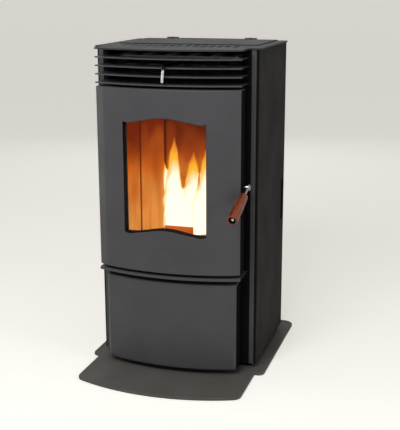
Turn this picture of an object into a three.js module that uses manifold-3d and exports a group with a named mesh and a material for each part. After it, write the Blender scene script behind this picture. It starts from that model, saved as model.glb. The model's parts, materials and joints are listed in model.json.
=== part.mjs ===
// Free-standing pellet stove with a bowed front, a windowed door and an ash drawer.
// Millimetres, +Z up. The origin lies on the floor under the middle of the cabinet's
// front plane: +X is to the viewer's right, +Y runs from the front plane to the back.
import * as THREE from 'three';
import { mergeVertices } from 'three/addons/utils/BufferGeometryUtils.js';
import Module from 'manifold-3d';

const wasm = await Module();
wasm.setup();

// ---------------------------------------------------------------- driving dimensions

// clearances and sheet
const GAP = 0.3; // between pieces that touch
const RUNNING = 0.5; // around a shaft or a pin that turns
const SHEET = 2; // cabinet sheet metal
const PLATE = 3; // firebox and frame plate

// cabinet
const CABINET_WIDTH = 450;
const CABINET_DEPTH = 335;
const CABINET_HEIGHT = 862;
const EDGE_BEND = 6.5; // outer radius of the side panels' front bend
const FLANGE_WIDTH = 19; // front return of a side panel, bend included
const BOW_RADIUS = 570; // every bowed front is an arc of this radius

// hearth base and plinth
const BASE_THICKNESS = 8;
const BASE_OVERHANG = 29; // beyond each side of the cabinet
const BASE_FRONT = 28; // reach of the wide part in front of the cabinet
const BASE_REAR = 60; // reach behind the cabinet
const BASE_FRONT_CORNER = 18;
const BASE_REAR_CORNER = 30;
const LIP_INSET = 24; // lip's sides inside the base's
const LIP_REACH = 238;
const LIP_CORNER = 26;
const PLINTH_HEIGHT = 14;
const PLINTH_INSET = 15;

// top plate and hopper lid
const TOP_THICKNESS = 4;
const TOP_OVERHANG = 5;
const TOP_REACH = 112;
const TOP_CORNER = 8;
const SLOT_COUNT = 15;
const SLOT_MARGIN = 46; // middle of the last slot inside the bowed part's side
const SLOT_WIDTH = 8;
const SLOT_LENGTH = 56;
const SLOT_FRONT = 10;
const LID_INSET = 25; // inside each side of the cabinet
const LID_FRONT = 96;
const LID_THICKNESS = 2;
const LID_CORNER = 12;
const LID_LAP = 14; // lap of the lid over the hopper opening at its sides and back
const LID_FRONT_LAP = 62; // and at its front, where the exchanger lies below
const LID_SKIRT = 9;
const LID_HINGE_RADIUS = 3;
const LID_HINGE_LENGTH = 36;
const LID_HINGE_INSET = 80; // middle of a hinge inside the lid's side

// louvred outlet over the door
const OUTLET_HEIGHT = 85; // from the sill to the top plate
const LOUVRE_INSET = 25; // inside each side of the cabinet
const LOUVRE_REACH = 110;
const LOUVRE_THICKNESS = 5;
const LOUVRE_COUNT = 3;
const LOUVRE_PITCH = 22;
const SILL_THICKNESS = 5.5;
const SILL_GAP = 5;
const LIP_SHEET = 2; // folded front edge of a louvre

// door
const DOOR_INSET = 1.5; // inside each side of the louvres
const DOOR_REACH = 114;
const DOOR_BACK = 36; // distance of the door's back edge from the cabinet front
const DOOR_WALL = 5;
const DOOR_CORNER = 13;
const DOOR_GAP = 8; // above the trim ledge

// window
const WINDOW_SIDE = 84.5; // inside each side of the door
const WINDOW_SILL = 105; // corners above the door's bottom edge
const WINDOW_HEAD = 86; // corners below the door's top edge
const WINDOW_RISE = 12; // crown of the arch above the corners
const WINDOW_DIP = 3.5; // ogee dip beside each corner
const CROWN_SHARE = 0.84; // where the crown ends, as a share of the half width
const DIP_SHARE = 0.86; // where the dip is deepest
const DIP_SPREAD = 0.11; // and how far it spreads
const JAMB_DEPTH = 18; // reveal behind the door's face at the window's sides
const JAMB_WALL = 5;
const GLASS_THICKNESS = 4;
const GLASS_LAP = 9;
const RETAINER_THICKNESS = 2;
const RETAINER_WIDTH = 12;

// door frame, seal and firebox mouth
const FRAME_THICKNESS = 3;
const FRAME_WIDTH = 36;
const SEAL_WIDTH = 14;
const MOUTH_INSET = 20.5; // inside each side of the door
const MOUTH_MARGIN = 14.5; // inside the door's top and bottom edge
const MOUTH_DEPTH = 30;
const MOUTH_WALL = 20;

// door hinges
const HINGE_OUTSET = 1.5; // pin's axis outside the door's side
const HINGE_Y = 18;
const HINGE_SIZE = 12;
const HINGE_HEIGHT = 15;
const HINGE_PIN = 3.5;
const HINGE_INSET = 62; // from the door's top and bottom edge

// latch
const LATCH_SETBACK = 48; // shaft axis in front of the cabinet
const LATCH_HEIGHT = 234; // shaft axis above the door's bottom edge
const LATCH_SHAFT = 5;
const LATCH_HUB = 9;
const LATCH_HUB_LENGTH = 14;
const LATCH_HUB_OFFSET = 5; // from the door's side to the hub
const LEVER_ANGLE = 18; // degrees below level
const LEVER_ROD = 4;
const LEVER_LENGTH = 164;
const GRIP_LENGTH = 119;
const GRIP_END_RADIUS = 11.5;
const GRIP_MID_RADIUS = 13.5;
const GRIP_BORE = 7.5;
const GRIP_BORE_DEPTH = 7;
const GRIP_SCREW = 4;
const CAM_THICKNESS = 5;
const CAM_LENGTH = 34;
const CAM_HEIGHT = 14;
const CAM_ROOM = 2; // beside the cam in the door frame's slot
const CAM_SWING = [40, 20]; // slot below and above the shaft
const CATCH_REACH = 26; // tongue in front of the cabinet
const CATCH_HEIGHT = 30;
const CATCH_TONGUE = 5;

// trim ledge and ash drawer
const TRIM_THICKNESS = 7.5;
const TRIM_REACH = 112;
const TRIM_GAP = 14; // above the drawer front
const DRAWER_INSET = 13; // inside each side of the louvres
const DRAWER_HEIGHT = 247;
const DRAWER_REACH = 95;
const DRAWER_BACK = 27;
const DRAWER_WALL = 2.5;
const DRAWER_CORNER = 15;
const DRAWER_LIFT = 1; // above the cabinet's bottom
const PAN_INSET = 37; // inside each side of the drawer front
const PAN_HEIGHT = 95;
const PAN_SETBACK = 16; // pan's rear in front of the firebox's rear
const PAN_LIFT = 28; // pan bottom above the cabinet's bottom
const RUNNER_SHEET = 2;
const RUNNER_LEDGE = 12;
const RUNNER_RISE = 12; // runner side above the pan's bottom

// firebox
const FIREBOX_INSET = 6; // shell inside each side of the mouth
const FIREBOX_SETBACK = 119; // shell's rear in front of the cabinet's rear
const FIREBOX_MARGIN = 9; // shell above and below the mouth
const LINER_THICKNESS = 12;
const LINER_INSET = 22; // front edges of the side liners inside the shell
const LINER_SPLAY = 46; // rear edges inside the front ones
const LINER_SETBACK = 20; // back liner's face in front of the shell's rear
const LINER_DROP = 43; // liners' top below the shell's top
const LINER_JOINTS = [30, 74]; // y of the vertical joints in each side liner
const LINER_GROOVE = 3;
const BAFFLE_THICKNESS = 5;
const BAFFLE_GAP = 30; // way up in front of the baffle
const POT_WIDTH = 124;
const POT_FRONT = 20;
const POT_DEPTH = 100;
const POT_HEIGHT = 50;
const POT_WALL = 5;
const POT_RIM = 8;
const POT_RIM_HEIGHT = 9;
const POT_LIP_WIDTH = 82; // upright front lip that holds the pellets back
const POT_LIP_HEIGHT = 25;
const POT_HOLE = 3;
const POT_HOLES = 6;
const CARRIER_HEIGHT = 14;
const FLUEWAY_WIDTH = 70;
const FLUEWAY_RISE = 40; // above the firebox floor
const FLUEWAY_DROP = 12; // below the blower's inlet
const IGNITER_RADIUS = 5;
const IGNITER_HEIGHT = 24; // above the pot's bottom

// heat exchanger and scraper
const TUBE_RADIUS = 19;
const TUBE_WALL = 2;
const TUBE_MOUTH = 9; // depth to which a tube's open end is modelled
const TUBE_PAIRS = 3;
const TUBE_MARGIN = 26; // axis of the last tube inside the exchanger's side
const ROD_ROOM = 1.5; // between the scraper rod and the tube beside it
const TUBE_FRONT = 5;
const TUBE_SHEET_GAP = 12; // tube sheet in front of the hopper's opening
const TUBE_DEPTH = 36; // rod and tube axes below the cabinet's top
const SCRAPER_ROD = 3.5;
const SCRAPER_X = 8;
const SCRAPER_LEAD = 12; // rod's leg in front of the louvres
const SCRAPER_DROP = 42;
const SCRAPER_LEAN = 4;
const SCRAPER_BEND = 8;
const SCRAPER_PLATE_GAP = 16; // scraper plate in front of the tube sheet

// fuel feed
const HOPPER_WALL = 2;
const HOPPER_MARGIN = 2; // hopper walls outside the top plate's opening
const HOPPER_COLLAR = 12; // upright rim under the top plate
const AUGER_SETBACK = 60; // axis in front of the cabinet's rear
const AUGER_LOW_X = 118;
const AUGER_RUN = 130; // from the low end to the high end, across
const AUGER_RISE = 145; // and upwards
const AUGER_DROP = 223; // low end below the firebox's top
const AUGER_TUBE = 26;
const AUGER_TUBE_WALL = 2.5;
const AUGER_END_ROOM = 20; // left free by the hopper beyond each end of the tube
const AUGER_FLIGHT = 21;
const AUGER_FLIGHT_THICKNESS = 3;
const AUGER_SHAFT = 7;
const AUGER_PITCH = 36;
const AUGER_MOTOR_RADIUS = 29;
const AUGER_MOTOR_LENGTH = 56;
const GEARCASE_LENGTH = 30;
const CHUTE_WIDTH = 40;
const CHUTE_DROP = 55; // chute's bottom below the auger's high end
const CHUTE_RISE = 7; // chute's top above it
const CHUTE_SLOPE = 38;
const CHUTE_SETBACK = 12; // tube's outlet in front of the auger's axis
const WAIST_LEFT = 64; // left edge of the hopper's waist behind the firebox
const WAIST_LIFT = 14; // waist above the firebox's top
const WAIST_GAP = 10; // waist behind the firebox
const NECK_RISE = 85; // neck's top above the auger's low end
const NECK_SINK = 20; // neck's foot above the auger's low end
const NECK_LEFT = 88;
const NECK_RIGHT = 124;
const NECK_HALF_DEPTH = 14;
const FEED_INLET_FOOT = 10; // tube's opening to the neck, above the low end
const FEED_INLET_HEAD = 90;

// combustion air and exhaust
const EXHAUST_LEFT = 95; // axis left of the middle
const EXHAUST_Z = 190;
const EXHAUST_SETBACK = 97; // housing's front in front of the cabinet's rear
const EXHAUST_DEPTH = 46;
const SCROLL_START = 54;
const SCROLL_GROWTH = 22;
const EXHAUST_WHEEL = 44;
const EXHAUST_BLADES = 8;
const EXHAUST_INLET = 28;
const EXHAUST_MOTOR = 31;
const MOTOR_CHAMFER = 6;
const SHAFT_INSERT = 12; // length of a fan's shaft inside its motor
const SHAFT_END = 2; // play past the shaft's end
const BLADE_ROOT = 2; // depth to which a blade enters its hub
const FLUE_LEFT = 20; // axis left of the middle
const FLUE_Z = 228;
const FLUE_RADIUS = 40;
const FLUE_WALL = 2;
const FLUE_REACH = 45; // behind the cabinet
const INTAKE_INSET = 62; // axis inside the firebox's side
const INTAKE_Z = 340;
const INTAKE_RADIUS = 25;
const INTAKE_REACH = 30;

// convection fan
const FAN_INSET = 189; // housing's left end inside the cabinet's right side
const FAN_LENGTH = 118;
const FAN_SETBACK = 60; // axis in front of the cabinet's rear
const FAN_Z = 140;
const FAN_HOUSING = 52;
const FAN_WHEEL = 42;
const FAN_BLADES = 10;
const FAN_THROAT = 24; // height of the outlet above the housing
const FAN_THROAT_BACK = 4; // outlet's rear wall in front of the axis
const FAN_RING = 9;
const FAN_BLADE_WIDTH = 8;
const FAN_BLADE_SHEET = 1.5;
const FAN_BLADE_INSET = 5;
const FAN_FLANGE = 8; // motor flange outside the inlet
const FAN_INLET = 32;
const FAN_MOTOR_RADIUS = 27;
const FAN_MOTOR_LENGTH = 42;
const FAN_SHAFT = 5;

// rear panel fittings
const INLET_INSET = 55; // mains inlet's middle inside the cabinet's side
const INLET_Z = 75;
const INLET_DEPTH = 26; // inside the rear panel
const PIN_PITCH = 10;
const PIN_WIDTH = 4;
const PIN_HEIGHT = 6;
const PIN_RECESS = 4;
const INLET_WIDTH = 48;
const INLET_HEIGHT = 28;
const CONTROL_WIDTH = 28;
const CONTROL_DEPTH = 96;
const CONTROL_HEIGHT = 120;
const CONTROL_Z = 560;
const VENT_COUNT = 9;
const VENT_PITCH = 14;
const VENT_WIDTH = 6;
const VENT_HEIGHT = 70;

// hand-hold in each side panel
const HANDHOLD_WIDTH = 22;
const HANDHOLD_HEIGHT = 124;
const HANDHOLD_REAR = 13; // from the rear edge
const HANDHOLD_Z = 362;

// ---------------------------------------------------------------- levels worked out

const CABINET_BOTTOM = BASE_THICKNESS + PLINTH_HEIGHT;
const CABINET_TOP = CABINET_BOTTOM + CABINET_HEIGHT;
const TOP_Z = CABINET_TOP + TOP_THICKNESS;
const BASE_WIDTH = CABINET_WIDTH + 2 * BASE_OVERHANG;
const LIP_WIDTH = BASE_WIDTH - 2 * LIP_INSET;
const LID_WIDTH = CABINET_WIDTH - 2 * LID_INSET;
const LID_HINGE_SPREAD = LID_WIDTH - 2 * LID_HINGE_INSET;
const LOUVRE_WIDTH = CABINET_WIDTH - 2 * LOUVRE_INSET;
const SLOT_PITCH = (LOUVRE_WIDTH - 2 * SLOT_MARGIN) / (SLOT_COUNT - 1);
const DOOR_WIDTH = LOUVRE_WIDTH - 2 * DOOR_INSET;
const WINDOW_WIDTH = DOOR_WIDTH - 2 * WINDOW_SIDE;
const MOUTH_WIDTH = DOOR_WIDTH - 2 * MOUTH_INSET;
const HINGE_X = DOOR_WIDTH / 2 + HINGE_OUTSET;
const DRAWER_WIDTH = LOUVRE_WIDTH - 2 * DRAWER_INSET;
const PAN_WIDTH = DRAWER_WIDTH - 2 * PAN_INSET;
const FIREBOX_WIDTH = MOUTH_WIDTH - 2 * FIREBOX_INSET;
const LINER_FRONT_HALF = FIREBOX_WIDTH / 2 - LINER_INSET;
const LINER_REAR_HALF = LINER_FRONT_HALF - LINER_SPLAY;
const HALF_CABINET = CABINET_WIDTH / 2;
const INNER_HALF = HALF_CABINET - SHEET - GAP;
const FLANGE_INNER = HALF_CABINET - FLANGE_WIDTH;
const FASCIA_HALF = FLANGE_INNER - GAP;
const DRAWER_BOTTOM = CABINET_BOTTOM + DRAWER_LIFT;
const DRAWER_TOP = DRAWER_BOTTOM + DRAWER_HEIGHT;
const TRIM_BOTTOM = DRAWER_TOP + TRIM_GAP;
const TRIM_TOP = TRIM_BOTTOM + TRIM_THICKNESS;
const DOOR_BOTTOM = TRIM_TOP + DOOR_GAP;
const SILL_TOP = CABINET_TOP - OUTLET_HEIGHT;
const SILL_BOTTOM = SILL_TOP - SILL_THICKNESS;
const DOOR_TOP = SILL_BOTTOM - SILL_GAP;
const MOUTH_BOTTOM = DOOR_BOTTOM + MOUTH_MARGIN;
const MOUTH_TOP = DOOR_TOP - MOUTH_MARGIN;
const FIREBOX_REAR = CABINET_DEPTH - FIREBOX_SETBACK;
const FIREBOX_BOTTOM = MOUTH_BOTTOM - FIREBOX_MARGIN;
const FIREBOX_TOP = MOUTH_TOP + FIREBOX_MARGIN;
const FIREBOX_FLOOR = FIREBOX_BOTTOM + PLATE;
const LINER_REAR = FIREBOX_REAR - LINER_SETBACK;
const LINER_BOTTOM = FIREBOX_FLOOR + GAP;
const LINER_TOP = FIREBOX_TOP - LINER_DROP;
const PAN_REAR = FIREBOX_REAR - PAN_SETBACK;
const POT_BOTTOM = FIREBOX_FLOOR + CARRIER_HEIGHT + GAP;
const POT_TOP = POT_BOTTOM + POT_HEIGHT;
const HOPPER_FRONT = LID_FRONT + LID_FRONT_LAP;
const HOPPER_REAR = CABINET_DEPTH - LID_LAP;
const HOPPER_HALF = LID_WIDTH / 2 - LID_LAP;
const TUBE_MIDDLE = SCRAPER_X + SCRAPER_ROD + ROD_ROOM + TUBE_RADIUS;
const TUBE_PITCH = (HOPPER_HALF - TUBE_MARGIN - TUBE_MIDDLE) / Math.max(TUBE_PAIRS - 1, 1);
const TUBE_SHEET_Y = HOPPER_FRONT - TUBE_SHEET_GAP;
const SCRAPER_HEIGHT = CABINET_TOP - TUBE_DEPTH;
const SCRAPER_REACH = LOUVRE_REACH + SCRAPER_LEAD;
const SCRAPER_PLATE_Y = TUBE_SHEET_Y - SCRAPER_PLATE_GAP;
const AUGER_Y = CABINET_DEPTH - AUGER_SETBACK;
const AUGER_LOW = new THREE.Vector3(AUGER_LOW_X, AUGER_Y, FIREBOX_TOP - AUGER_DROP);
const AUGER_HIGH = new THREE.Vector3(AUGER_LOW_X - AUGER_RUN, AUGER_Y, AUGER_LOW.z + AUGER_RISE);
const CHUTE_BOTTOM = AUGER_HIGH.z - CHUTE_DROP;
const CHUTE_TOP = AUGER_HIGH.z + CHUTE_RISE;
const NECK_TOP = AUGER_LOW.z + NECK_RISE;
const EXHAUST_X = -EXHAUST_LEFT;
const EXHAUST_FRONT = CABINET_DEPTH - EXHAUST_SETBACK;
const FLUE_X = -FLUE_LEFT;
const INTAKE_X = FIREBOX_WIDTH / 2 - INTAKE_INSET;
const FAN_LEFT = HALF_CABINET - FAN_INSET;
const FAN_Y = CABINET_DEPTH - FAN_SETBACK;
const INLET_X = INLET_INSET - HALF_CABINET;

// ---------------------------------------------------------------- finishes

const FINISH = {
  charcoal: { color: 0x4a494c, roughness: 0.45, metalness: 0.35 },
  topGrey: { color: 0x6f6f73, roughness: 0.42, metalness: 0.35 },
  hearth: { color: 0x55524e, roughness: 0.5, metalness: 0.3 },
  black: { color: 0x151314, roughness: 0.7, metalness: 0.2 },
  sidePaint: { color: 0x2b2a28, roughness: 0.5, metalness: 0.3 },
  steel: { color: 0x8d9092, roughness: 0.45, metalness: 0.9 },
  chrome: { color: 0xd5d7da, roughness: 0.12, metalness: 1.0 },
  wood: { color: 0x8a4a2c, roughness: 0.45, metalness: 0.0 },
  glass: { color: 0x2a2522, roughness: 0.05, metalness: 0.0, transparent: true, opacity: 0.35 },
  rope: { color: 0xb9b2a4, roughness: 0.95, metalness: 0.0 },
  brick: { color: 0xa8683c, roughness: 0.9, metalness: 0.0 },
  iron: { color: 0x2d2927, roughness: 0.8, metalness: 0.6 },
  motor: { color: 0x3c3f42, roughness: 0.5, metalness: 0.6 },
  plastic: { color: 0x1d1d1f, roughness: 0.6, metalness: 0.0 },
};

// ---------------------------------------------------------------- shape helpers

const point2 = (x, y) => new THREE.Vector2(x, y);
const point3 = (x, y, z) => new THREE.Vector3(x, y, z);

function toSolid(geometry) {
  const bare = geometry.clone();
  bare.deleteAttribute('normal');
  bare.deleteAttribute('uv');
  const merged = mergeVertices(bare, 1e-4);
  const vertProperties = new Float32Array(merged.attributes.position.array);
  const triVerts = new Uint32Array(merged.index.array);
  return new wasm.Manifold(new wasm.Mesh({ numProp: 3, vertProperties, triVerts }));
}

function toGeometry(solid) {
  const { vertProperties, triVerts } = solid.getMesh();
  const geometry = new THREE.BufferGeometry();
  geometry.setAttribute('position', new THREE.BufferAttribute(new Float32Array(vertProperties), 3));
  geometry.setIndex(new THREE.BufferAttribute(new Uint32Array(triVerts), 1));
  geometry.computeVertexNormals();
  return geometry;
}

const union = (first, ...rest) => rest.reduce((sum, next) => sum.add(next), first);
const cut = (first, ...rest) => rest.reduce((sum, next) => sum.subtract(next), first);

function outlineShape(points, holes = []) {
  const shape = new THREE.Shape(points);
  holes.forEach((hole) => shape.holes.push(new THREE.Path(hole)));
  return shape;
}

// Extrudes an outline drawn in X and Y from one height to another.
function prismZ(points, z0, z1, holes = []) {
  const options = { depth: z1 - z0, bevelEnabled: false };
  return toSolid(new THREE.ExtrudeGeometry(outlineShape(points, holes), options).translate(0, 0, z0));
}

// Extrudes an outline drawn in X and Z along Y.
function prismY(points, y0, y1, holes = []) {
  const options = { depth: y1 - y0, bevelEnabled: false };
  const geometry = new THREE.ExtrudeGeometry(outlineShape(points, holes), options);
  return toSolid(geometry.rotateX(Math.PI / 2).translate(0, y1, 0));
}

// Extrudes an outline drawn in Y and Z along X.
function prismX(points, x0, x1, holes = []) {
  const options = { depth: x1 - x0, bevelEnabled: false };
  const geometry = new THREE.ExtrudeGeometry(outlineShape(points, holes), options);
  const turn = new THREE.Matrix4().set(0, 0, 1, x0, 1, 0, 0, 0, 0, 1, 0, 0, 0, 0, 0, 1);
  return toSolid(geometry.applyMatrix4(turn));
}

function block(x0, x1, y0, y1, z0, z1) {
  const geometry = new THREE.BoxGeometry(x1 - x0, y1 - y0, z1 - z0);
  return toSolid(geometry.translate((x0 + x1) / 2, (y0 + y1) / 2, (z0 + z1) / 2));
}

function alongLine(geometry, from, to) {
  const direction = to.clone().sub(from).normalize();
  const turn = new THREE.Quaternion().setFromUnitVectors(point3(0, 1, 0), direction);
  return geometry.applyQuaternion(turn).translate(from.x, from.y, from.z);
}

// A round bar between two points.
function bar(radius, from, to, sides = 20) {
  const length = from.distanceTo(to);
  const geometry = new THREE.CylinderGeometry(radius, radius, length, sides).translate(0, length / 2, 0);
  return toSolid(alongLine(geometry, from, to));
}

// A revolved profile of [radius, distance] pairs, its axis running from one point towards another.
function turned(profile, from, to, sides = 24) {
  const points = profile.map(([radius, along]) => point2(radius, along));
  return toSolid(alongLine(new THREE.LatheGeometry(points, sides), from, to));
}

function arc(cx, cy, radius, from, to, steps) {
  return Array.from({ length: steps + 1 }, (_, i) => {
    const angle = from + ((to - from) * i) / steps;
    return point2(cx + radius * Math.cos(angle), cy + radius * Math.sin(angle));
  });
}

function rectangle(x0, x1, y0, y1) {
  return [point2(x0, y0), point2(x1, y0), point2(x1, y1), point2(x0, y1)];
}

function roundedRectangle(x0, x1, y0, y1, lowRadius, highRadius = lowRadius, steps = 5) {
  const right = Math.PI / 2;
  return [
    ...arc(x1 - lowRadius, y0 + lowRadius, lowRadius, -right, 0, steps),
    ...arc(x1 - highRadius, y1 - highRadius, highRadius, 0, right, steps),
    ...arc(x0 + highRadius, y1 - highRadius, highRadius, right, 2 * right, steps),
    ...arc(x0 + lowRadius, y0 + lowRadius, lowRadius, 2 * right, 3 * right, steps),
  ];
}

// A slot with round ends, long in Y.
function slotOutline(x, y0, y1, width, steps = 3) {
  const radius = width / 2;
  return [
    ...arc(x, y0 + radius, radius, Math.PI, 2 * Math.PI, steps),
    ...arc(x, y1 - radius, radius, 0, Math.PI, steps),
  ];
}

const circle = (x, y, radius, sides = 24) => arc(x, y, radius, 0, 2 * Math.PI, sides).slice(0, -1);

// A plan outline with straight sides and a bowed front whose corners are filleted.
function bowOutline({ width, reach, back, corner, radius = BOW_RADIUS, steps = 16 }) {
  const half = width / 2;
  const centreY = radius - reach;
  const filletX = half - corner;
  const filletY = centreY - Math.sqrt((radius - corner) ** 2 - filletX ** 2);
  const turn = Math.atan2(filletY - centreY, filletX);
  return [
    point2(half, back),
    ...arc(filletX, filletY, corner, 0, turn, 4),
    ...arc(0, centreY, radius, turn, -Math.PI - turn, steps).slice(1, -1),
    ...arc(-filletX, filletY, corner, -Math.PI - turn, -Math.PI, 4),
    point2(-half, back),
  ];
}

// Distance in front of the cabinet of a bowed face at a given x.
const bowDepth = (reach, x) => reach - BOW_RADIUS + Math.sqrt(BOW_RADIUS ** 2 - x ** 2);

// Joins outlines of equal point counts, each at its own height, into a closed body.
function loft(rings) {
  const count = rings[0].length;
  const positions = rings.flat().flatMap((p) => [p.x, p.y, p.z]);
  const index = [];
  for (let level = 0; level < rings.length - 1; level += 1) {
    for (let i = 0; i < count; i += 1) {
      const low = level * count + i;
      const next = level * count + ((i + 1) % count);
      index.push(low, next, next + count, low, next + count, low + count);
    }
  }
  const last = (rings.length - 1) * count;
  for (let i = 1; i < count - 1; i += 1) {
    index.push(0, i + 1, i);
    index.push(last, last + i, last + i + 1);
  }
  const geometry = new THREE.BufferGeometry();
  geometry.setAttribute('position', new THREE.Float32BufferAttribute(positions, 3));
  geometry.setIndex(index);
  return toSolid(geometry);
}

const levelRing = (x0, x1, y0, y1, z) => rectangle(x0, x1, y0, y1).map((p) => point3(p.x, p.y, z));

// ---------------------------------------------------------------- scene graph

const stove = new THREE.Group();

function assembly(...position) {
  const group = new THREE.Group();
  group.position.set(...position);
  stove.add(group);
  return group;
}

function place(parent, name, solid, finish) {
  const geometry = solid instanceof THREE.BufferGeometry ? solid : toGeometry(solid);
  const mesh = new THREE.Mesh(geometry, new THREE.MeshStandardMaterial(FINISH[finish]));
  mesh.name = name;
  parent.add(mesh);
  return mesh;
}

// ---------------------------------------------------------------- hearth base and cabinet

const cabinet = assembly(0, 0, 0);

function hearthBase() {
  const half = BASE_WIDTH / 2;
  const rear = CABINET_DEPTH + BASE_REAR;
  const wide = roundedRectangle(-half, half, -BASE_FRONT, rear, BASE_FRONT_CORNER, BASE_REAR_CORNER);
  const lip = bowOutline({ width: LIP_WIDTH, reach: LIP_REACH, back: 0, corner: LIP_CORNER });
  return union(prismZ(wide, 0, BASE_THICKNESS), prismZ(lip, 0, BASE_THICKNESS));
}

function plinth() {
  const half = HALF_CABINET - PLINTH_INSET;
  const rear = CABINET_DEPTH - PLINTH_INSET;
  const bottom = BASE_THICKNESS + GAP;
  const top = CABINET_BOTTOM - GAP;
  const shell = block(-half, half, PLINTH_INSET, rear, bottom, top);
  const inside = [half - SHEET, PLINTH_INSET + SHEET, rear - SHEET];
  return cut(shell, block(-inside[0], inside[0], inside[1], inside[2], bottom - 1, top - SHEET));
}

// One side panel: a sheet with a rounded front bend and a front return flange.
function sidePanel(side) {
  const inner = EDGE_BEND - SHEET;
  const bend = HALF_CABINET - EDGE_BEND;
  const quarter = Math.PI / 2;
  const plan = [
    point2(HALF_CABINET, CABINET_DEPTH),
    ...arc(bend, EDGE_BEND, EDGE_BEND, 0, -quarter, 5),
    point2(FLANGE_INNER, 0),
    point2(FLANGE_INNER, SHEET),
    ...arc(bend, EDGE_BEND, inner, -quarter, 0, 5),
    point2(HALF_CABINET - SHEET, CABINET_DEPTH),
  ].map((p) => point2(side * p.x, p.y));
  const y = CABINET_DEPTH - HANDHOLD_REAR - HANDHOLD_WIDTH / 2;
  const hold = slotOutline(y, HANDHOLD_Z, HANDHOLD_Z + HANDHOLD_HEIGHT, HANDHOLD_WIDTH, 6);
  const outside = side * HALF_CABINET;
  const opening = prismX(hold, outside - 2 * SHEET, outside + 2 * SHEET);
  return cut(prismZ(plan, CABINET_BOTTOM, CABINET_TOP - GAP), opening);
}

function frontFascia() {
  const outlet = rectangle(-HOPPER_HALF, HOPPER_HALF, SILL_TOP, CABINET_TOP - PLATE);
  const mouthHalf = MOUTH_WIDTH / 2 - MOUTH_WALL;
  const mouth = rectangle(-mouthHalf, mouthHalf, MOUTH_BOTTOM + MOUTH_WALL, MOUTH_TOP - MOUTH_WALL);
  const panHalf = PAN_WIDTH / 2 + RUNNER_LEDGE;
  const drawer = rectangle(-panHalf, panHalf, CABINET_BOTTOM + PAN_LIFT - RUNNER_SHEET, DRAWER_TOP - PLATE);
  const outline = rectangle(-FASCIA_HALF, FASCIA_HALF, CABINET_BOTTOM, CABINET_TOP - GAP);
  return prismY(outline, 0, SHEET, [outlet, mouth, drawer]);
}

function rearPanel() {
  const outline = rectangle(-INNER_HALF, INNER_HALF, CABINET_BOTTOM, CABINET_TOP - GAP);
  const ventLeft = FAN_LEFT + FAN_LENGTH / 2 - ((VENT_COUNT - 1) * VENT_PITCH) / 2;
  const vents = Array.from({ length: VENT_COUNT }, (_, i) =>
    slotOutline(ventLeft + i * VENT_PITCH, FAN_Z - VENT_HEIGHT / 2, FAN_Z + VENT_HEIGHT / 2, VENT_WIDTH, 3),
  );
  const halfInlet = INLET_WIDTH / 2 - PLATE;
  const halfRise = INLET_HEIGHT / 2 - PLATE;
  const holes = [
    circle(FLUE_X, FLUE_Z, FLUE_RADIUS + RUNNING),
    circle(INTAKE_X, INTAKE_Z, INTAKE_RADIUS + RUNNING),
    rectangle(INLET_X - halfInlet, INLET_X + halfInlet, INLET_Z - halfRise, INLET_Z + halfRise),
    ...vents,
  ];
  return prismY(outline, CABINET_DEPTH - SHEET, CABINET_DEPTH, holes);
}

function topPlate() {
  const half = HALF_CABINET + TOP_OVERHANG;
  const wide = roundedRectangle(-half, half, -TOP_OVERHANG, CABINET_DEPTH, TOP_CORNER);
  const bow = bowOutline({ width: LOUVRE_WIDTH, reach: TOP_REACH, back: 0, corner: PLATE });
  const hopper = block(-HOPPER_HALF, HOPPER_HALF, HOPPER_FRONT, HOPPER_REAR, CABINET_TOP - 1, TOP_Z + 1);
  const slots = Array.from({ length: SLOT_COUNT }, (_, i) => {
    const x = (i - (SLOT_COUNT - 1) / 2) * SLOT_PITCH;
    const outline = slotOutline(x, SLOT_FRONT, SLOT_FRONT + SLOT_LENGTH, SLOT_WIDTH);
    return prismZ(outline, CABINET_TOP - 1, TOP_Z + 1);
  });
  return cut(union(prismZ(wide, CABINET_TOP, TOP_Z), prismZ(bow, CABINET_TOP, TOP_Z)), hopper, ...slots);
}

place(cabinet, 'hearth_base', hearthBase(), 'hearth');
place(cabinet, 'plinth', plinth(), 'black');
const floorRear = CABINET_DEPTH - SHEET - GAP;
const floorTop = CABINET_BOTTOM + SHEET;
const cabinetFloor = block(-INNER_HALF, INNER_HALF, EDGE_BEND, floorRear, CABINET_BOTTOM, floorTop);
place(cabinet, 'cabinet_floor', cabinetFloor, 'black');
place(cabinet, 'side_panel_left', sidePanel(-1), 'sidePaint');
place(cabinet, 'side_panel_right', sidePanel(1), 'sidePaint');
place(cabinet, 'front_fascia', frontFascia(), 'black');
place(cabinet, 'rear_panel', rearPanel(), 'sidePaint');
place(cabinet, 'top_plate', topPlate(), 'topGrey');

// ---------------------------------------------------------------- louvres, sill and trim ledge

// A bowed shelf whose front and side edges are folded down.
function foldedShelf(reach, thickness) {
  const outer = bowOutline({ width: LOUVRE_WIDTH, reach, back: -GAP, corner: PLATE });
  const inner = bowOutline({
    width: LOUVRE_WIDTH - 2 * LIP_SHEET,
    reach: reach - LIP_SHEET,
    back: 1,
    corner: PLATE - LIP_SHEET / 2,
    radius: BOW_RADIUS - LIP_SHEET,
  });
  return cut(prismZ(outer, 0, thickness), prismZ(inner, -1, thickness - LIP_SHEET));
}

const louvres = assembly(0, 0, SILL_TOP - SILL_THICKNESS / 2 - LOUVRE_THICKNESS / 2);
const louvreGeometry = toGeometry(foldedShelf(LOUVRE_REACH, LOUVRE_THICKNESS));
for (let i = 1; i <= LOUVRE_COUNT; i += 1) {
  place(louvres, `grille_louvre_${i}`, louvreGeometry, 'charcoal').position.z = i * LOUVRE_PITCH;
}
place(cabinet, 'grille_sill', foldedShelf(LOUVRE_REACH, SILL_THICKNESS), 'charcoal').position.z = SILL_BOTTOM;
place(cabinet, 'trim_ledge', foldedShelf(TRIM_REACH, TRIM_THICKNESS), 'topGrey').position.z = TRIM_BOTTOM;

// ---------------------------------------------------------------- firebox

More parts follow.
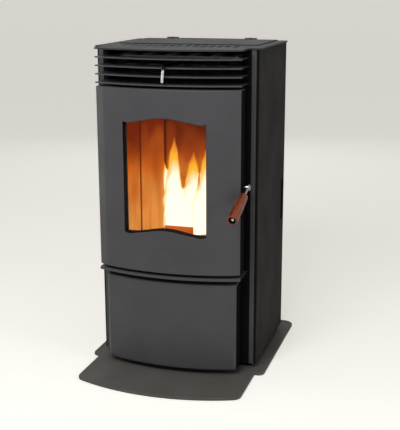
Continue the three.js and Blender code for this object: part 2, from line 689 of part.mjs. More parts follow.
const firebox = assembly(0, 0, 0);
const FIREBOX_HALF = FIREBOX_WIDTH / 2;
const FIREBOX_FRONT = SHEET + GAP;
const POT_HALF = POT_WIDTH / 2;
const POT_REAR = POT_FRONT + POT_DEPTH;
const CHUTE_HALF = CHUTE_WIDTH / 2;
const FLUEWAY_HALF = FLUEWAY_WIDTH / 2;
const FLUEWAY_TOP = FIREBOX_FLOOR + FLUEWAY_RISE;
const FLUEWAY_BOTTOM = EXHAUST_Z - EXHAUST_INLET - FLUEWAY_DROP;
const FLUEWAY_FRONT = FIREBOX_REAR + GAP;
const FLUEWAY_REAR = EXHAUST_FRONT - GAP;
const FLUEWAY_OPENING = [
  EXHAUST_X - FLUEWAY_HALF + PLATE,
  EXHAUST_X + FLUEWAY_HALF - PLATE,
  FIREBOX_FLOOR,
  FLUEWAY_TOP - PLATE,
];

function fireboxShell() {
  const shell = block(-FIREBOX_HALF, FIREBOX_HALF, FIREBOX_FRONT, FIREBOX_REAR, FIREBOX_BOTTOM, FIREBOX_TOP);
  const half = FIREBOX_HALF - PLATE;
  const top = FIREBOX_TOP - PLATE;
  const inside = block(-half, half, FIREBOX_FRONT - 1, FIREBOX_REAR - PLATE, FIREBOX_FLOOR, top);
  const wall = [FIREBOX_REAR - 2 * PLATE, FIREBOX_REAR + 1];
  const chuteHalf = CHUTE_HALF + RUNNING;
  const chute = block(-chuteHalf, chuteHalf, ...wall, CHUTE_BOTTOM - RUNNING, CHUTE_TOP + RUNNING);
  const [left, right, low, high] = FLUEWAY_OPENING;
  const flueway = block(left, right, ...wall, low, high);
  const intakeFrom = point3(INTAKE_X, FIREBOX_REAR - 2 * PLATE, INTAKE_Z);
  const intake = bar(INTAKE_RADIUS + RUNNING, intakeFrom, point3(INTAKE_X, FIREBOX_REAR + 1, INTAKE_Z), 24);
  const ashHalf = POT_HALF - POT_WALL;
  const ashRear = POT_REAR - POT_WALL;
  const ashHole = block(-ashHalf, ashHalf, POT_FRONT + POT_WALL, ashRear, FIREBOX_BOTTOM - 1, POT_BOTTOM + 1);
  const carrier = block(-POT_HALF, POT_HALF, POT_FRONT, POT_REAR, FIREBOX_FLOOR - 1, POT_BOTTOM - GAP);
  return cut(union(cut(shell, inside), carrier), chute, flueway, intake, ashHole);
}

function fireboxMouth() {
  const half = MOUTH_WIDTH / 2;
  const inner = half - MOUTH_WALL;
  const outline = roundedRectangle(-half, half, MOUTH_BOTTOM, MOUTH_TOP, 4, 4, 3);
  const hole = rectangle(-inner, inner, MOUTH_BOTTOM + MOUTH_WALL, MOUTH_TOP - MOUTH_WALL);
  return prismY(outline, -MOUTH_DEPTH, -GAP, [hole]);
}

// A splayed side liner in three leaves, with V joints between them on its inner face.
function sideLiner(side) {
  const front = point2(LINER_FRONT_HALF, FIREBOX_FRONT + 2 * GAP);
  const rear = point2(LINER_REAR_HALF, LINER_REAR);
  const along = rear.clone().sub(front).normalize();
  const outward = point2(along.y, -along.x).multiplyScalar(LINER_THICKNESS);
  const groove = along.clone().multiplyScalar(LINER_GROOVE);
  const notches = LINER_JOINTS.flatMap((y) => {
    const joint = front.clone().add(along.clone().multiplyScalar((y - front.y) / along.y));
    const root = joint.clone().add(outward.clone().multiplyScalar(LINER_GROOVE / LINER_THICKNESS));
    return [joint.clone().sub(groove), root, joint.clone().add(groove)];
  });
  const plan = [front, ...notches, rear, rear.clone().add(outward), front.clone().add(outward)];
  return prismZ(plan.map((p) => point2(side * p.x, p.y)), LINER_BOTTOM, LINER_TOP);
}

function backLiner() {
  const front = LINER_REAR + GAP;
  const half = LINER_REAR_HALF;
  const outline = rectangle(-half, half, LINER_BOTTOM, LINER_TOP);
  const chuteHalf = CHUTE_HALF + RUNNING;
  const chute = rectangle(-chuteHalf, chuteHalf, CHUTE_BOTTOM - RUNNING, CHUTE_TOP + RUNNING);
  return prismY(outline, front, front + LINER_THICKNESS, [chute]);
}

function baffle() {
  const front = FIREBOX_FRONT + BAFFLE_GAP;
  const splay = (LINER_FRONT_HALF - LINER_REAR_HALF) / LINER_REAR;
  const half = LINER_FRONT_HALF - splay * front;
  const plan = [
    point2(-half, front),
    point2(half, front),
    point2(LINER_REAR_HALF, LINER_REAR),
    point2(-LINER_REAR_HALF, LINER_REAR),
  ];
  return prismZ(plan, LINER_TOP + GAP, LINER_TOP + GAP + BAFFLE_THICKNESS);
}

// The burner: a cast pot with a wide rim, an upright front lip and a row of air holes front and back.
function burnPot() {
  const body = block(-POT_HALF, POT_HALF, POT_FRONT, POT_REAR, POT_BOTTOM, POT_TOP);
  const rimHalf = POT_HALF + POT_RIM;
  const rimFront = POT_FRONT - POT_RIM;
  const rimRear = POT_REAR + POT_RIM;
  const rim = block(-rimHalf, rimHalf, rimFront, rimRear, POT_TOP - POT_RIM_HEIGHT, POT_TOP);
  const half = POT_HALF - POT_WALL;
  const floor = POT_BOTTOM + POT_WALL;
  const inside = block(-half, half, POT_FRONT + POT_WALL, POT_REAR - POT_WALL, floor, POT_TOP + 1);
  const pitch = (2 * half) / POT_HOLES;
  const holes = Array.from({ length: POT_HOLES }, (_, i) => {
    const x = (i - (POT_HOLES - 1) / 2) * pitch;
    const z = POT_BOTTOM + POT_HEIGHT / 2;
    return bar(POT_HOLE, point3(x, POT_FRONT - 1, z), point3(x, POT_REAR + 1, z), 8);
  });
  const grateSlots = Array.from({ length: POT_HOLES }, (_, i) => {
    const x = (i - (POT_HOLES - 1) / 2) * pitch;
    const from = POT_FRONT + 3 * POT_WALL;
    return block(x - POT_HOLE, x + POT_HOLE, from, POT_REAR - 3 * POT_WALL, POT_BOTTOM - 1, floor + POT_WALL);
  });
  const lipHalf = POT_LIP_WIDTH / 2;
  const lipBottom = POT_TOP - 1;
  const lip = block(-lipHalf, lipHalf, rimFront, rimFront + POT_WALL, lipBottom, POT_TOP + POT_LIP_HEIGHT);
  return cut(union(body, rim, lip), inside, ...holes, ...grateSlots);
}

function igniter() {
  const z = POT_BOTTOM + IGNITER_HEIGHT;
  const start = POT_REAR + GAP;
  const length = LINER_REAR - start;
  const sleeve = IGNITER_RADIUS * 1.5;
  const collar = length * 0.45;
  const profile = [
    [0, 0],
    [IGNITER_RADIUS, 0],
    [IGNITER_RADIUS, collar],
    [sleeve, collar],
    [sleeve, length],
    [0, length],
  ];
  return turned(profile, point3(0, start, z), point3(0, start + 1, z), 16);
}

function flueway() {
  const left = EXHAUST_X - FLUEWAY_HALF;
  const right = EXHAUST_X + FLUEWAY_HALF;
  const shell = block(left, right, FLUEWAY_FRONT, FLUEWAY_REAR, FLUEWAY_BOTTOM, FLUEWAY_TOP);
  const wall = SHEET;
  const inside = [left + wall, right - wall, FLUEWAY_FRONT + wall, FLUEWAY_REAR - wall];
  const hollow = block(...inside, FLUEWAY_BOTTOM + wall, FLUEWAY_TOP - wall);
  const [x0, x1, z0, z1] = FLUEWAY_OPENING;
  const mouth = block(x0, x1, FLUEWAY_FRONT - 1, FLUEWAY_FRONT + 2 * wall, z0, z1);
  const outFrom = point3(EXHAUST_X, FLUEWAY_REAR - 2 * wall, EXHAUST_Z);
  const outlet = bar(EXHAUST_INLET, outFrom, point3(EXHAUST_X, FLUEWAY_REAR + 1, EXHAUST_Z));
  return cut(shell, hollow, mouth, outlet);
}

place(firebox, 'firebox_shell', fireboxShell(), 'iron');
place(firebox, 'firebox_mouth', fireboxMouth(), 'black');
place(firebox, 'liner_left', sideLiner(-1), 'brick');
place(firebox, 'liner_right', sideLiner(1), 'brick');
place(firebox, 'liner_back', backLiner(), 'brick');
place(firebox, 'baffle_plate', baffle(), 'iron');
place(firebox, 'burn_pot', burnPot(), 'iron');
place(firebox, 'igniter', igniter(), 'steel');
place(firebox, 'flueway', flueway(), 'iron');

// ---------------------------------------------------------------- heat exchanger and scraper

const exchanger = assembly(0, 0, 0);
const tubeCentres = Array.from({ length: 2 * TUBE_PAIRS }, (_, i) => {
  const side = i < TUBE_PAIRS ? -1 : 1;
  const place = side < 0 ? TUBE_PAIRS - 1 - i : i - TUBE_PAIRS;
  return side * (TUBE_MIDDLE + place * TUBE_PITCH);
});

function heatExchanger() {
  const sheetHalf = HOPPER_HALF;
  const bottom = FIREBOX_TOP + GAP;
  const sheet = block(-sheetHalf, sheetHalf, TUBE_SHEET_Y, TUBE_SHEET_Y + PLATE, bottom, CABINET_TOP - GAP);
  const tubes = tubeCentres.map((x) => {
    const from = point3(x, TUBE_FRONT, SCRAPER_HEIGHT);
    return bar(TUBE_RADIUS, from, point3(x, TUBE_SHEET_Y + PLATE / 2, SCRAPER_HEIGHT), 12);
  });
  const mouths = tubeCentres.map((x) => {
    const from = point3(x, TUBE_FRONT - 1, SCRAPER_HEIGHT);
    return bar(TUBE_RADIUS - TUBE_WALL, from, point3(x, TUBE_FRONT + TUBE_MOUTH, SCRAPER_HEIGHT), 12);
  });
  return cut(union(sheet, ...tubes), ...mouths);
}

// Slides over the exchanger tubes when its rod is pulled.
function scraperPlate() {
  const half = HOPPER_HALF - PLATE;
  const rise = TUBE_RADIUS + 2 * PLATE;
  const outline = rectangle(-half, half, SCRAPER_HEIGHT - rise, SCRAPER_HEIGHT + rise);
  const holes = tubeCentres.map((x) => circle(x, SCRAPER_HEIGHT, TUBE_RADIUS + 3 * RUNNING, 12));
  return prismY(outline, SCRAPER_PLATE_Y, SCRAPER_PLATE_Y + PLATE, holes);
}

function scraperRod() {
  const bendStart = point3(SCRAPER_X, SCRAPER_BEND - SCRAPER_REACH, SCRAPER_HEIGHT);
  const corner = point3(SCRAPER_X, -SCRAPER_REACH, SCRAPER_HEIGHT);
  const tip = point3(SCRAPER_X - SCRAPER_LEAN, -SCRAPER_REACH, SCRAPER_HEIGHT - SCRAPER_DROP);
  const down = tip.clone().sub(corner).normalize();
  const bendEnd = corner.clone().addScaledVector(down, SCRAPER_BEND);
  const section = new THREE.Shape(circle(0, 0, SCRAPER_ROD, 12));
  const path = new THREE.QuadraticBezierCurve3(bendStart, corner, bendEnd);
  const options = { steps: 6, extrudePath: path, bevelEnabled: false };
  const bend = toSolid(new THREE.ExtrudeGeometry(section, options));
  const back = point3(SCRAPER_X, SCRAPER_PLATE_Y - GAP, SCRAPER_HEIGHT);
  const straight = bar(SCRAPER_ROD, back, bendStart.clone().add(point3(0, -0.5, 0)), 12);
  const leg = bar(SCRAPER_ROD, bendEnd.clone().addScaledVector(down, -0.5), tip, 12);
  return union(straight, bend, leg);
}

place(exchanger, 'heat_exchanger', heatExchanger(), 'steel');
place(exchanger, 'scraper_plate', scraperPlate(), 'steel');
place(exchanger, 'scraper_rod', scraperRod(), 'chrome');

// ---------------------------------------------------------------- fuel feed

const feed = assembly(0, 0, 0);
const augerDirection = AUGER_HIGH.clone().sub(AUGER_LOW).normalize();
const augerLength = AUGER_LOW.distanceTo(AUGER_HIGH);
const onAuger = (distance) => AUGER_LOW.clone().addScaledVector(augerDirection, distance);

function hopperRings(inset, topLift, neckDrop) {
  const half = HOPPER_HALF + HOPPER_MARGIN - inset;
  const front = HOPPER_FRONT - HOPPER_MARGIN + inset;
  const rear = HOPPER_REAR + HOPPER_MARGIN - inset;
  const shelf = FIREBOX_REAR + WAIST_GAP + inset;
  const neckFront = AUGER_Y - NECK_HALF_DEPTH + inset;
  const neckRear = AUGER_Y + NECK_HALF_DEPTH - inset;
  return [
    levelRing(NECK_LEFT + inset, NECK_RIGHT - inset, neckFront, neckRear, AUGER_LOW.z + NECK_SINK - neckDrop),
    levelRing(NECK_LEFT + inset, NECK_RIGHT - inset, neckFront, neckRear, NECK_TOP),
    levelRing(inset - WAIST_LEFT, half, shelf, rear, FIREBOX_TOP + WAIST_LIFT),
    levelRing(-half, half, front, rear, CABINET_TOP - HOPPER_COLLAR),
    levelRing(-half, half, front, rear, CABINET_TOP - GAP + topLift),
  ];
}

function hopper() {
  const ends = [onAuger(-AUGER_END_ROOM), onAuger(augerLength + AUGER_END_ROOM)];
  const clearance = bar(AUGER_TUBE + GAP, ...ends, 24);
  return cut(loft(hopperRings(0, 0, 0)), loft(hopperRings(HOPPER_WALL, 1, 1)), clearance);
}

function augerTube() {
  const outer = bar(AUGER_TUBE, onAuger(0), onAuger(augerLength), 24);
  const bore = bar(AUGER_TUBE - AUGER_TUBE_WALL, onAuger(AUGER_TUBE_WALL), onAuger(augerLength + 1), 24);
  const shaftHole = bar(AUGER_SHAFT + RUNNING, onAuger(-1), onAuger(AUGER_TUBE_WALL + 1), 16);
  const neck = [NECK_LEFT + HOPPER_WALL, NECK_RIGHT - HOPPER_WALL];
  const depth = NECK_HALF_DEPTH - HOPPER_WALL;
  const rise = [AUGER_LOW.z + FEED_INLET_FOOT, AUGER_LOW.z + FEED_INLET_HEAD];
  const inlet = block(...neck, AUGER_Y - depth, AUGER_Y + depth, ...rise);
  const chuteInner = CHUTE_HALF - SHEET;
  const mouth = [AUGER_Y - AUGER_TUBE - 1, AUGER_Y - CHUTE_SETBACK];
  const outlet = block(-chuteInner, chuteInner, ...mouth, CHUTE_BOTTOM + CHUTE_SLOPE, CHUTE_TOP);
  return cut(outer, bore, shaftHole, inlet, outlet);
}

// A helical flight swept round the shaft, closed at both ends.
function augerFlight() {
  const stepsPerTurn = 10;
  const usable = augerLength - 4 * AUGER_TUBE_WALL;
  const turns = (usable - AUGER_FLIGHT_THICKNESS) / AUGER_PITCH;
  const steps = Math.round(turns * stepsPerTurn);
  const inner = AUGER_SHAFT - 1;
  const rings = Array.from({ length: steps + 1 }, (_, i) => {
    const angle = (2 * Math.PI * turns * i) / steps;
    const along = (AUGER_PITCH * turns * i) / steps;
    const corner = (radius, y) => point3(radius * Math.cos(angle), y, -radius * Math.sin(angle));
    const top = along + AUGER_FLIGHT_THICKNESS;
    return [corner(inner, top), corner(AUGER_FLIGHT, top), corner(AUGER_FLIGHT, along), corner(inner, along)];
  });
  const start = onAuger(2 * AUGER_TUBE_WALL);
  const turn = new THREE.Quaternion().setFromUnitVectors(point3(0, 1, 0), augerDirection);
  return loft(rings.map((ring) => ring.map((p) => p.applyQuaternion(turn).add(start))));
}

function augerScrew() {
  const shaft = bar(AUGER_SHAFT, onAuger(-GEARCASE_LENGTH / 2), onAuger(augerLength - AUGER_TUBE_WALL), 16);
  return union(shaft, augerFlight());
}

function augerMotor() {
  const caseEnd = -GAP;
  const caseStart = caseEnd - GEARCASE_LENGTH;
  const gearcase = bar(AUGER_TUBE, onAuger(caseStart), onAuger(caseEnd), 8);
  const motor = bar(AUGER_MOTOR_RADIUS, onAuger(caseStart - AUGER_MOTOR_LENGTH), onAuger(caseStart + 1), 24);
  const socket = bar(AUGER_SHAFT + RUNNING, onAuger(-GEARCASE_LENGTH / 2 - RUNNING), onAuger(1), 16);
  return cut(union(gearcase, motor), socket);
}

// A sloped chute that drops pellets through the back liner towards the burn pot.
function feedChute() {
  const front = LINER_REAR + GAP;
  const rear = AUGER_Y - AUGER_TUBE - GAP;
  const profile = [
    point2(front, CHUTE_BOTTOM),
    point2(rear, CHUTE_BOTTOM + CHUTE_SLOPE - 2 * SHEET),
    point2(rear, CHUTE_TOP),
    point2(front, CHUTE_TOP),
  ];
  const inside = [
    point2(front - 1, CHUTE_BOTTOM + SHEET),
    point2(rear + 1, CHUTE_BOTTOM + CHUTE_SLOPE),
    point2(rear + 1, CHUTE_TOP - SHEET),
    point2(front - 1, CHUTE_TOP - SHEET),
  ];
  const half = CHUTE_HALF - SHEET;
  return cut(prismX(profile, -CHUTE_HALF, CHUTE_HALF), prismX(inside, -half, half));
}

place(feed, 'hopper', hopper(), 'steel');
place(feed, 'auger_tube', augerTube(), 'steel');
place(feed, 'auger_screw', augerScrew(), 'steel');
place(feed, 'auger_motor', augerMotor(), 'motor');
place(feed, 'feed_chute', feedChute(), 'steel');

// ---------------------------------------------------------------- exhaust blower, flue and intake

const exhaust = assembly(EXHAUST_X, EXHAUST_FRONT, EXHAUST_Z);
const scrollRight = FLUE_X - EXHAUST_X + FLUE_RADIUS + 2 * SHEET;
const scrollTop = Math.max(SCROLL_START + SCROLL_GROWTH, FLUE_Z - EXHAUST_Z + FLUE_RADIUS + SHEET);

// The spiral side wall, drawn from the throat round to the outlet box on the right.
function scrollOutline(inset) {
  const steps = 26;
  const sweep = 1.5 * Math.PI;
  return Array.from({ length: steps + 1 }, (_, i) => {
    const radius = SCROLL_START + (SCROLL_GROWTH * i) / steps - inset;
    const angle = Math.PI / 2 + (sweep * i) / steps;
    return point2(radius * Math.cos(angle), radius * Math.sin(angle));
  });
}

function exhaustHousing() {
  const body = (inset, y0, y1) => {
    const spiral = prismY(scrollOutline(inset), y0, y1);
    const drum = bar(SCROLL_START - inset, point3(0, y0, 0), point3(0, y1, 0), 32);
    const outlet = block(0, scrollRight - inset, y0, y1, inset, scrollTop - inset);
    return union(drum, spiral, outlet);
  };
  const back = EXHAUST_DEPTH;
  const inlet = bar(EXHAUST_INLET, point3(0, -1, 0), point3(0, 2 * SHEET, 0), 24);
  const flueX = FLUE_X - EXHAUST_X;
  const flueZ = FLUE_Z - EXHAUST_Z;
  const opening = FLUE_RADIUS - 2 * FLUE_WALL;
  const flue = bar(opening, point3(flueX, back - 2 * SHEET, flueZ), point3(flueX, back + 1, flueZ), 24);
  const shaftHole = bar(FAN_SHAFT + RUNNING, point3(0, back - 2 * SHEET, 0), point3(0, back + 1, 0), 12);
  return cut(body(0, 0, back), body(SHEET, SHEET, back - SHEET), inlet, flue, shaftHole);
}

function exhaustWheel() {
  const front = 2 * SHEET;
  const rear = EXHAUST_DEPTH - 2 * SHEET;
  const disc = bar(EXHAUST_WHEEL, point3(0, rear - SHEET, 0), point3(0, rear, 0), 24);
  const shaft = bar(FAN_SHAFT, point3(0, front, 0), point3(0, EXHAUST_DEPTH + SHAFT_INSERT, 0), 12);
  const blades = Array.from({ length: EXHAUST_BLADES }, (_, i) => {
    const blade = new THREE.BoxGeometry(EXHAUST_WHEEL - FAN_SHAFT, rear - front, SHEET);
    blade.translate((EXHAUST_WHEEL + FAN_SHAFT) / 2 - BLADE_ROOT, (front + rear) / 2, 0);
    return toSolid(blade.rotateY((2 * Math.PI * i) / EXHAUST_BLADES));
  });
  return union(disc, shaft, ...blades);
}

function exhaustMotor() {
  const front = EXHAUST_DEPTH + GAP;
  const rear = CABINET_DEPTH - SHEET - GAP - EXHAUST_FRONT;
  const length = rear - front;
  const profile = [
    [0, 0],
    [EXHAUST_MOTOR, 0],
    [EXHAUST_MOTOR, length - MOTOR_CHAMFER],
    [EXHAUST_MOTOR - MOTOR_CHAMFER, length],
    [0, length],
  ];
  const body = turned(profile, point3(0, front, 0), point3(0, rear, 0));
  const end = EXHAUST_DEPTH + SHAFT_INSERT + SHAFT_END;
  return cut(body, bar(FAN_SHAFT + RUNNING, point3(0, front - 1, 0), point3(0, end, 0), 12));
}

function pipe(radius, wall, x, y0, y1, z) {
  const outer = bar(radius, point3(x, y0, z), point3(x, y1, z), 32);
  return cut(outer, bar(radius - wall, point3(x, y0 - 1, z), point3(x, y1 + 1, z), 32));
}

place(exhaust, 'exhaust_housing', exhaustHousing(), 'steel');
place(exhaust, 'exhaust_wheel', exhaustWheel(), 'steel');
place(exhaust, 'exhaust_motor', exhaustMotor(), 'motor');
const flueStart = EXHAUST_FRONT + EXHAUST_DEPTH + GAP;
const flueCollar = pipe(FLUE_RADIUS, FLUE_WALL, FLUE_X, flueStart, CABINET_DEPTH + FLUE_REACH, FLUE_Z);
place(cabinet, 'flue_collar', flueCollar, 'steel');
const intakeStart = FIREBOX_REAR - PLATE;
const intakePipe = pipe(INTAKE_RADIUS, SHEET, INTAKE_X, intakeStart, CABINET_DEPTH + INTAKE_REACH, INTAKE_Z);
place(cabinet, 'air_intake_pipe', intakePipe, 'steel');

// ---------------------------------------------------------------- convection fan

const fan = assembly(FAN_LEFT, FAN_Y, FAN_Z);

function fanHousing() {
  const body = (inset, x0, x1) => {
    const drum = bar(FAN_HOUSING - inset, point3(x0, 0, 0), point3(x1, 0, 0), 28);
    const top = FAN_HOUSING + FAN_THROAT + inset;
    const throat = block(x0, x1, inset - FAN_HOUSING, -FAN_THROAT_BACK - inset, 0, top);
    return union(drum, throat);
  };
  const inlets = bar(FAN_INLET, point3(-1, 0, 0), point3(FAN_LENGTH + 1, 0, 0), 24);
  return cut(body(0, 0, FAN_LENGTH), body(SHEET, SHEET, FAN_LENGTH - SHEET), inlets);
}

function fanWheel() {
  const start = 2 * SHEET;
  const end = FAN_LENGTH - 2 * SHEET;
  const ring = (x) => {
    const outer = bar(FAN_WHEEL, point3(x, 0, 0), point3(x + SHEET, 0, 0), 20);
    return cut(outer, bar(FAN_WHEEL - FAN_RING, point3(x - 1, 0, 0), point3(x + SHEET + 1, 0, 0), 20));
  };
  const middle = FAN_LENGTH / 2;
  const disc = bar(FAN_WHEEL - 1, point3(middle - SHEET / 2, 0, 0), point3(middle + SHEET / 2, 0, 0), 20);
  const shaftEnd = FAN_LENGTH + SHAFT_INSERT + SHAFT_END;
  const shaft = bar(FAN_SHAFT, point3(start, 0, 0), point3(shaftEnd, 0, 0), 12);
  const blades = Array.from({ length: FAN_BLADES }, (_, i) => {
    const blade = new THREE.BoxGeometry(end - start, FAN_BLADE_WIDTH, FAN_BLADE_SHEET);
    blade.translate((start + end) / 2, 0, 0).rotateX(Math.PI / 5);
    blade.translate(0, 0, FAN_WHEEL - FAN_BLADE_INSET);
    return toSolid(blade.rotateX((2 * Math.PI * i) / FAN_BLADES));
  });
  return union(ring(start), ring(end - SHEET), disc, shaft, ...blades);
}

function fanMotor() {
  const start = FAN_LENGTH + GAP;
  const end = start + FAN_MOTOR_LENGTH;
  const body = bar(FAN_MOTOR_RADIUS, point3(start + SHEET, 0, 0), point3(end, 0, 0), 24);
  const plate = bar(FAN_INLET + FAN_FLANGE, point3(start, 0, 0), point3(start + SHEET, 0, 0), 24);
  const socketEnd = start + SHAFT_INSERT + 2 * SHAFT_END;
  const socket = bar(FAN_SHAFT + RUNNING, point3(start - 1, 0, 0), point3(socketEnd, 0, 0), 12);
  return cut(union(body, plate), socket);
}

place(fan, 'convection_housing', fanHousing(), 'steel');
place(fan, 'convection_wheel', fanWheel(), 'steel');
place(fan, 'convection_motor', fanMotor(), 'motor');

// ---------------------------------------------------------------- electrical fittings

function powerInlet() {
  const outside = CABINET_DEPTH + GAP;
  const inner = CABINET_DEPTH - INLET_DEPTH;
  const centred = (x, width, height, y0, y1) =>
    block(x - width / 2, x + width / 2, y0, y1, INLET_Z - height / 2, INLET_Z + height / 2);
  const flange = centred(INLET_X, INLET_WIDTH, INLET_HEIGHT, outside, outside + PLATE);
  const bodyWidth = INLET_WIDTH - 2 * (PLATE + GAP);
  const bodyHeight = INLET_HEIGHT - 2 * (PLATE + GAP);
  const body = centred(INLET_X, bodyWidth, bodyHeight, inner, outside + 1);
  const walls = 2 * PLATE;
  const socket = centred(INLET_X, bodyWidth - walls, bodyHeight - walls, inner + PLATE, outside + walls);
  const pins = [-PIN_PITCH, 0, PIN_PITCH].map((x) =>
    centred(INLET_X + x, PIN_WIDTH, PIN_HEIGHT, inner + 1, CABINET_DEPTH - PIN_RECESS),
  );
  return union(cut(union(flange, body), socket), ...pins);
}

function controlBox() {
  const x0 = GAP - INNER_HALF;
  const rear = CABINET_DEPTH - SHEET - GAP;
  const plan = roundedRectangle(x0, x0 + CONTROL_WIDTH, rear - CONTROL_DEPTH, rear, 4, 4, 2);
  return prismZ(plan, CONTROL_Z, CONTROL_Z + CONTROL_HEIGHT);
}

place(cabinet, 'power_inlet', powerInlet(), 'plastic');
place(cabinet, 'control_box', controlBox(), 'plastic');

// ---------------------------------------------------------------- door

const door = assembly(0, 0, 0);
const HALF_DOOR = DOOR_WIDTH / 2;
const HALF_WINDOW = WINDOW_WIDTH / 2;
const WINDOW_LOW = DOOR_BOTTOM + WINDOW_SILL;
const WINDOW_HIGH = DOOR_TOP - WINDOW_HEAD;
const JAMB_BACK = -bowDepth(DOOR_REACH, HALF_WINDOW) + JAMB_DEPTH;
const LATCH_Z = DOOR_BOTTOM + LATCH_HEIGHT;
const LATCH_Y = -LATCH_SETBACK;

// Height of the window's arched edge above the line through its corners: it dips
// just inside each corner and rises to a crown in the middle.
function archRise(x) {
  const share = Math.abs(x) / HALF_WINDOW;
  const crown = WINDOW_RISE * (0.5 + 0.5 * Math.cos(Math.PI * Math.min(share / CROWN_SHARE, 1)));
  const dip = WINDOW_DIP * Math.exp(-(((share - DIP_SHARE) / DIP_SPREAD) ** 2));
  return crown - dip;
}

function windowOutline(grow, steps = 18) {
  const half = HALF_WINDOW + grow;
  const edge = (level, from, to) =>
    Array.from({ length: steps + 1 }, (_, i) => {
      const x = from + ((to - from) * i) / steps;
      return point2(x, level + archRise((x * HALF_WINDOW) / half));
    });
  return [...edge(WINDOW_LOW - grow, -half, half), ...edge(WINDOW_HIGH + grow, half, -half)];
}

function doorShell() {
  const outer = bowOutline({ width: DOOR_WIDTH, reach: DOOR_REACH, back: -DOOR_BACK, corner: DOOR_CORNER });
  const inner = bowOutline({
    width: DOOR_WIDTH - 2 * DOOR_WALL,
    reach: DOOR_REACH - DOOR_WALL,
    back: 1,
    corner: DOOR_CORNER - DOOR_WALL,
    radius: BOW_RADIUS - DOOR_WALL,
  });
  const solid = prismZ(outer, DOOR_BOTTOM, DOOR_TOP);
  const pan = cut(solid, prismZ(inner, DOOR_BOTTOM + DOOR_WALL, DOOR_TOP - DOOR_WALL));
  const jamb = prismY(windowOutline(JAMB_WALL), -DOOR_REACH - 1, JAMB_BACK).intersect(solid);
  const opening = prismY(windowOutline(0), -DOOR_REACH - 2, JAMB_BACK + 1);
  const shaftFrom = point3(HALF_DOOR - 2 * DOOR_WALL, LATCH_Y, LATCH_Z);
  const shaftHole = bar(LATCH_SHAFT + RUNNING, shaftFrom, point3(HALF_DOOR + 1, LATCH_Y, LATCH_Z), 16);
  return cut(union(pan, jamb), opening, shaftHole);
}

function doorFrame() {
  const half = HALF_DOOR - DOOR_WALL - GAP;
  const low = DOOR_BOTTOM + DOOR_WALL + GAP;
  const high = DOOR_TOP - DOOR_WALL - GAP;
  const outline = rectangle(-half, half, low, high);
  const hole = rectangle(FRAME_WIDTH - half, half - FRAME_WIDTH, low + FRAME_WIDTH, high - FRAME_WIDTH);
  const back = -DOOR_BACK;
  const frame = prismY(outline, back - FRAME_THICKNESS, back, [hole]);
  const left = camPlane() - CAM_ROOM;
  const right = camPlane() + CAM_THICKNESS + CAM_ROOM;
  const [below, above] = CAM_SWING;
  const slot = block(left, right, back - FRAME_THICKNESS - 1, back + 1, LATCH_Z - below, LATCH_Z + above);
  return cut(frame, slot);
}

// Lowest x of the latch cam, which swings between the seal and the door's side.
function camPlane() {
  return (MOUTH_WIDTH / 2 + HALF_DOOR - DOOR_WALL) / 2 - CAM_THICKNESS / 2;
}

function ropeSeal() {
  const half = MOUTH_WIDTH / 2 - RUNNING;
  const outline = roundedRectangle(-half, half, MOUTH_BOTTOM + RUNNING, MOUTH_TOP - RUNNING, 6, 6, 3);
  const inner = half - SEAL_WIDTH;
  const inset = RUNNING + SEAL_WIDTH;
  const hole = rectangle(-inner, inner, MOUTH_BOTTOM + inset, MOUTH_TOP - inset);
  return prismY(outline, -DOOR_BACK + GAP, -MOUTH_DEPTH - GAP, [hole]);
}

function windowGlass() {
  const half = HALF_WINDOW + GLASS_LAP;
  const low = WINDOW_LOW - WINDOW_DIP - GLASS_LAP;
  const high = WINDOW_HIGH + WINDOW_RISE + GLASS_LAP;
  const front = JAMB_BACK + GAP;
  return prismY(roundedRectangle(-half, half, low, high, 4, 4, 2), front, front + GLASS_THICKNESS);
}

function glassRetainer() {
  const half = HALF_WINDOW + GLASS_LAP;
  const low = WINDOW_LOW - WINDOW_DIP - GLASS_LAP;
  const high = WINDOW_HIGH + WINDOW_RISE + GLASS_LAP;
  const inner = half - RETAINER_WIDTH;
  const hole = rectangle(-inner, inner, low + RETAINER_WIDTH, high - RETAINER_WIDTH);
  const front = JAMB_BACK + 2 * GAP + GLASS_THICKNESS;
  return prismY(rectangle(-half, half, low, high), front, front + RETAINER_THICKNESS, [hole]);
}

// The door's half of a hinge: an eye over the pin and an arm to the door frame.
function hingeEye() {
  const half = HINGE_SIZE / 2;
  const eye = block(-HINGE_X - half, half - HINGE_X, -HINGE_Y - half, half - HINGE_Y, GAP, HINGE_HEIGHT);
  const armEnd = -MOUTH_WIDTH / 2 - SHEET;
  const arm = block(-HINGE_X - half, armEnd, GAP - DOOR_BACK, -HINGE_Y - half + 1, GAP, HINGE_HEIGHT);
  const from = point3(-HINGE_X, -HINGE_Y, GAP - 1);
  const to = point3(-HINGE_X, -HINGE_Y, HINGE_HEIGHT + 1);
  return cut(union(eye, arm), bar(HINGE_PIN + RUNNING, from, to, 16));
}

// The cabinet's half: a block on the fascia with an upright pin.
function hingeBracket() {
  const half = HINGE_SIZE / 2;
  const base = block(-HINGE_X - half, half - HINGE_X, -HINGE_Y - half, -GAP, -HINGE_SIZE, 0);
  const pinTop = point3(-HINGE_X, -HINGE_Y, HINGE_HEIGHT - 1);
  return union(base, bar(HINGE_PIN, point3(-HINGE_X, -HINGE_Y, -1), pinTop, 16));
}

place(door, 'door_shell', doorShell(), 'charcoal');
place(door, 'door_frame', doorFrame(), 'black');
place(door, 'rope_seal', ropeSeal(), 'rope');
place(door, 'window_glass', windowGlass(), 'glass');
place(door, 'glass_retainer', glassRetainer(), 'steel');
const hingeLevels = { lower: DOOR_BOTTOM + HINGE_INSET, upper: DOOR_TOP - HINGE_INSET };
for (const [level, z] of Object.entries(hingeLevels)) {
  place(door, `hinge_eye_${level}`, hingeEye(), 'steel').position.z = z;
  place(cabinet, `hinge_bracket_${level}`, hingeBracket(), 'steel').position.z = z;
}

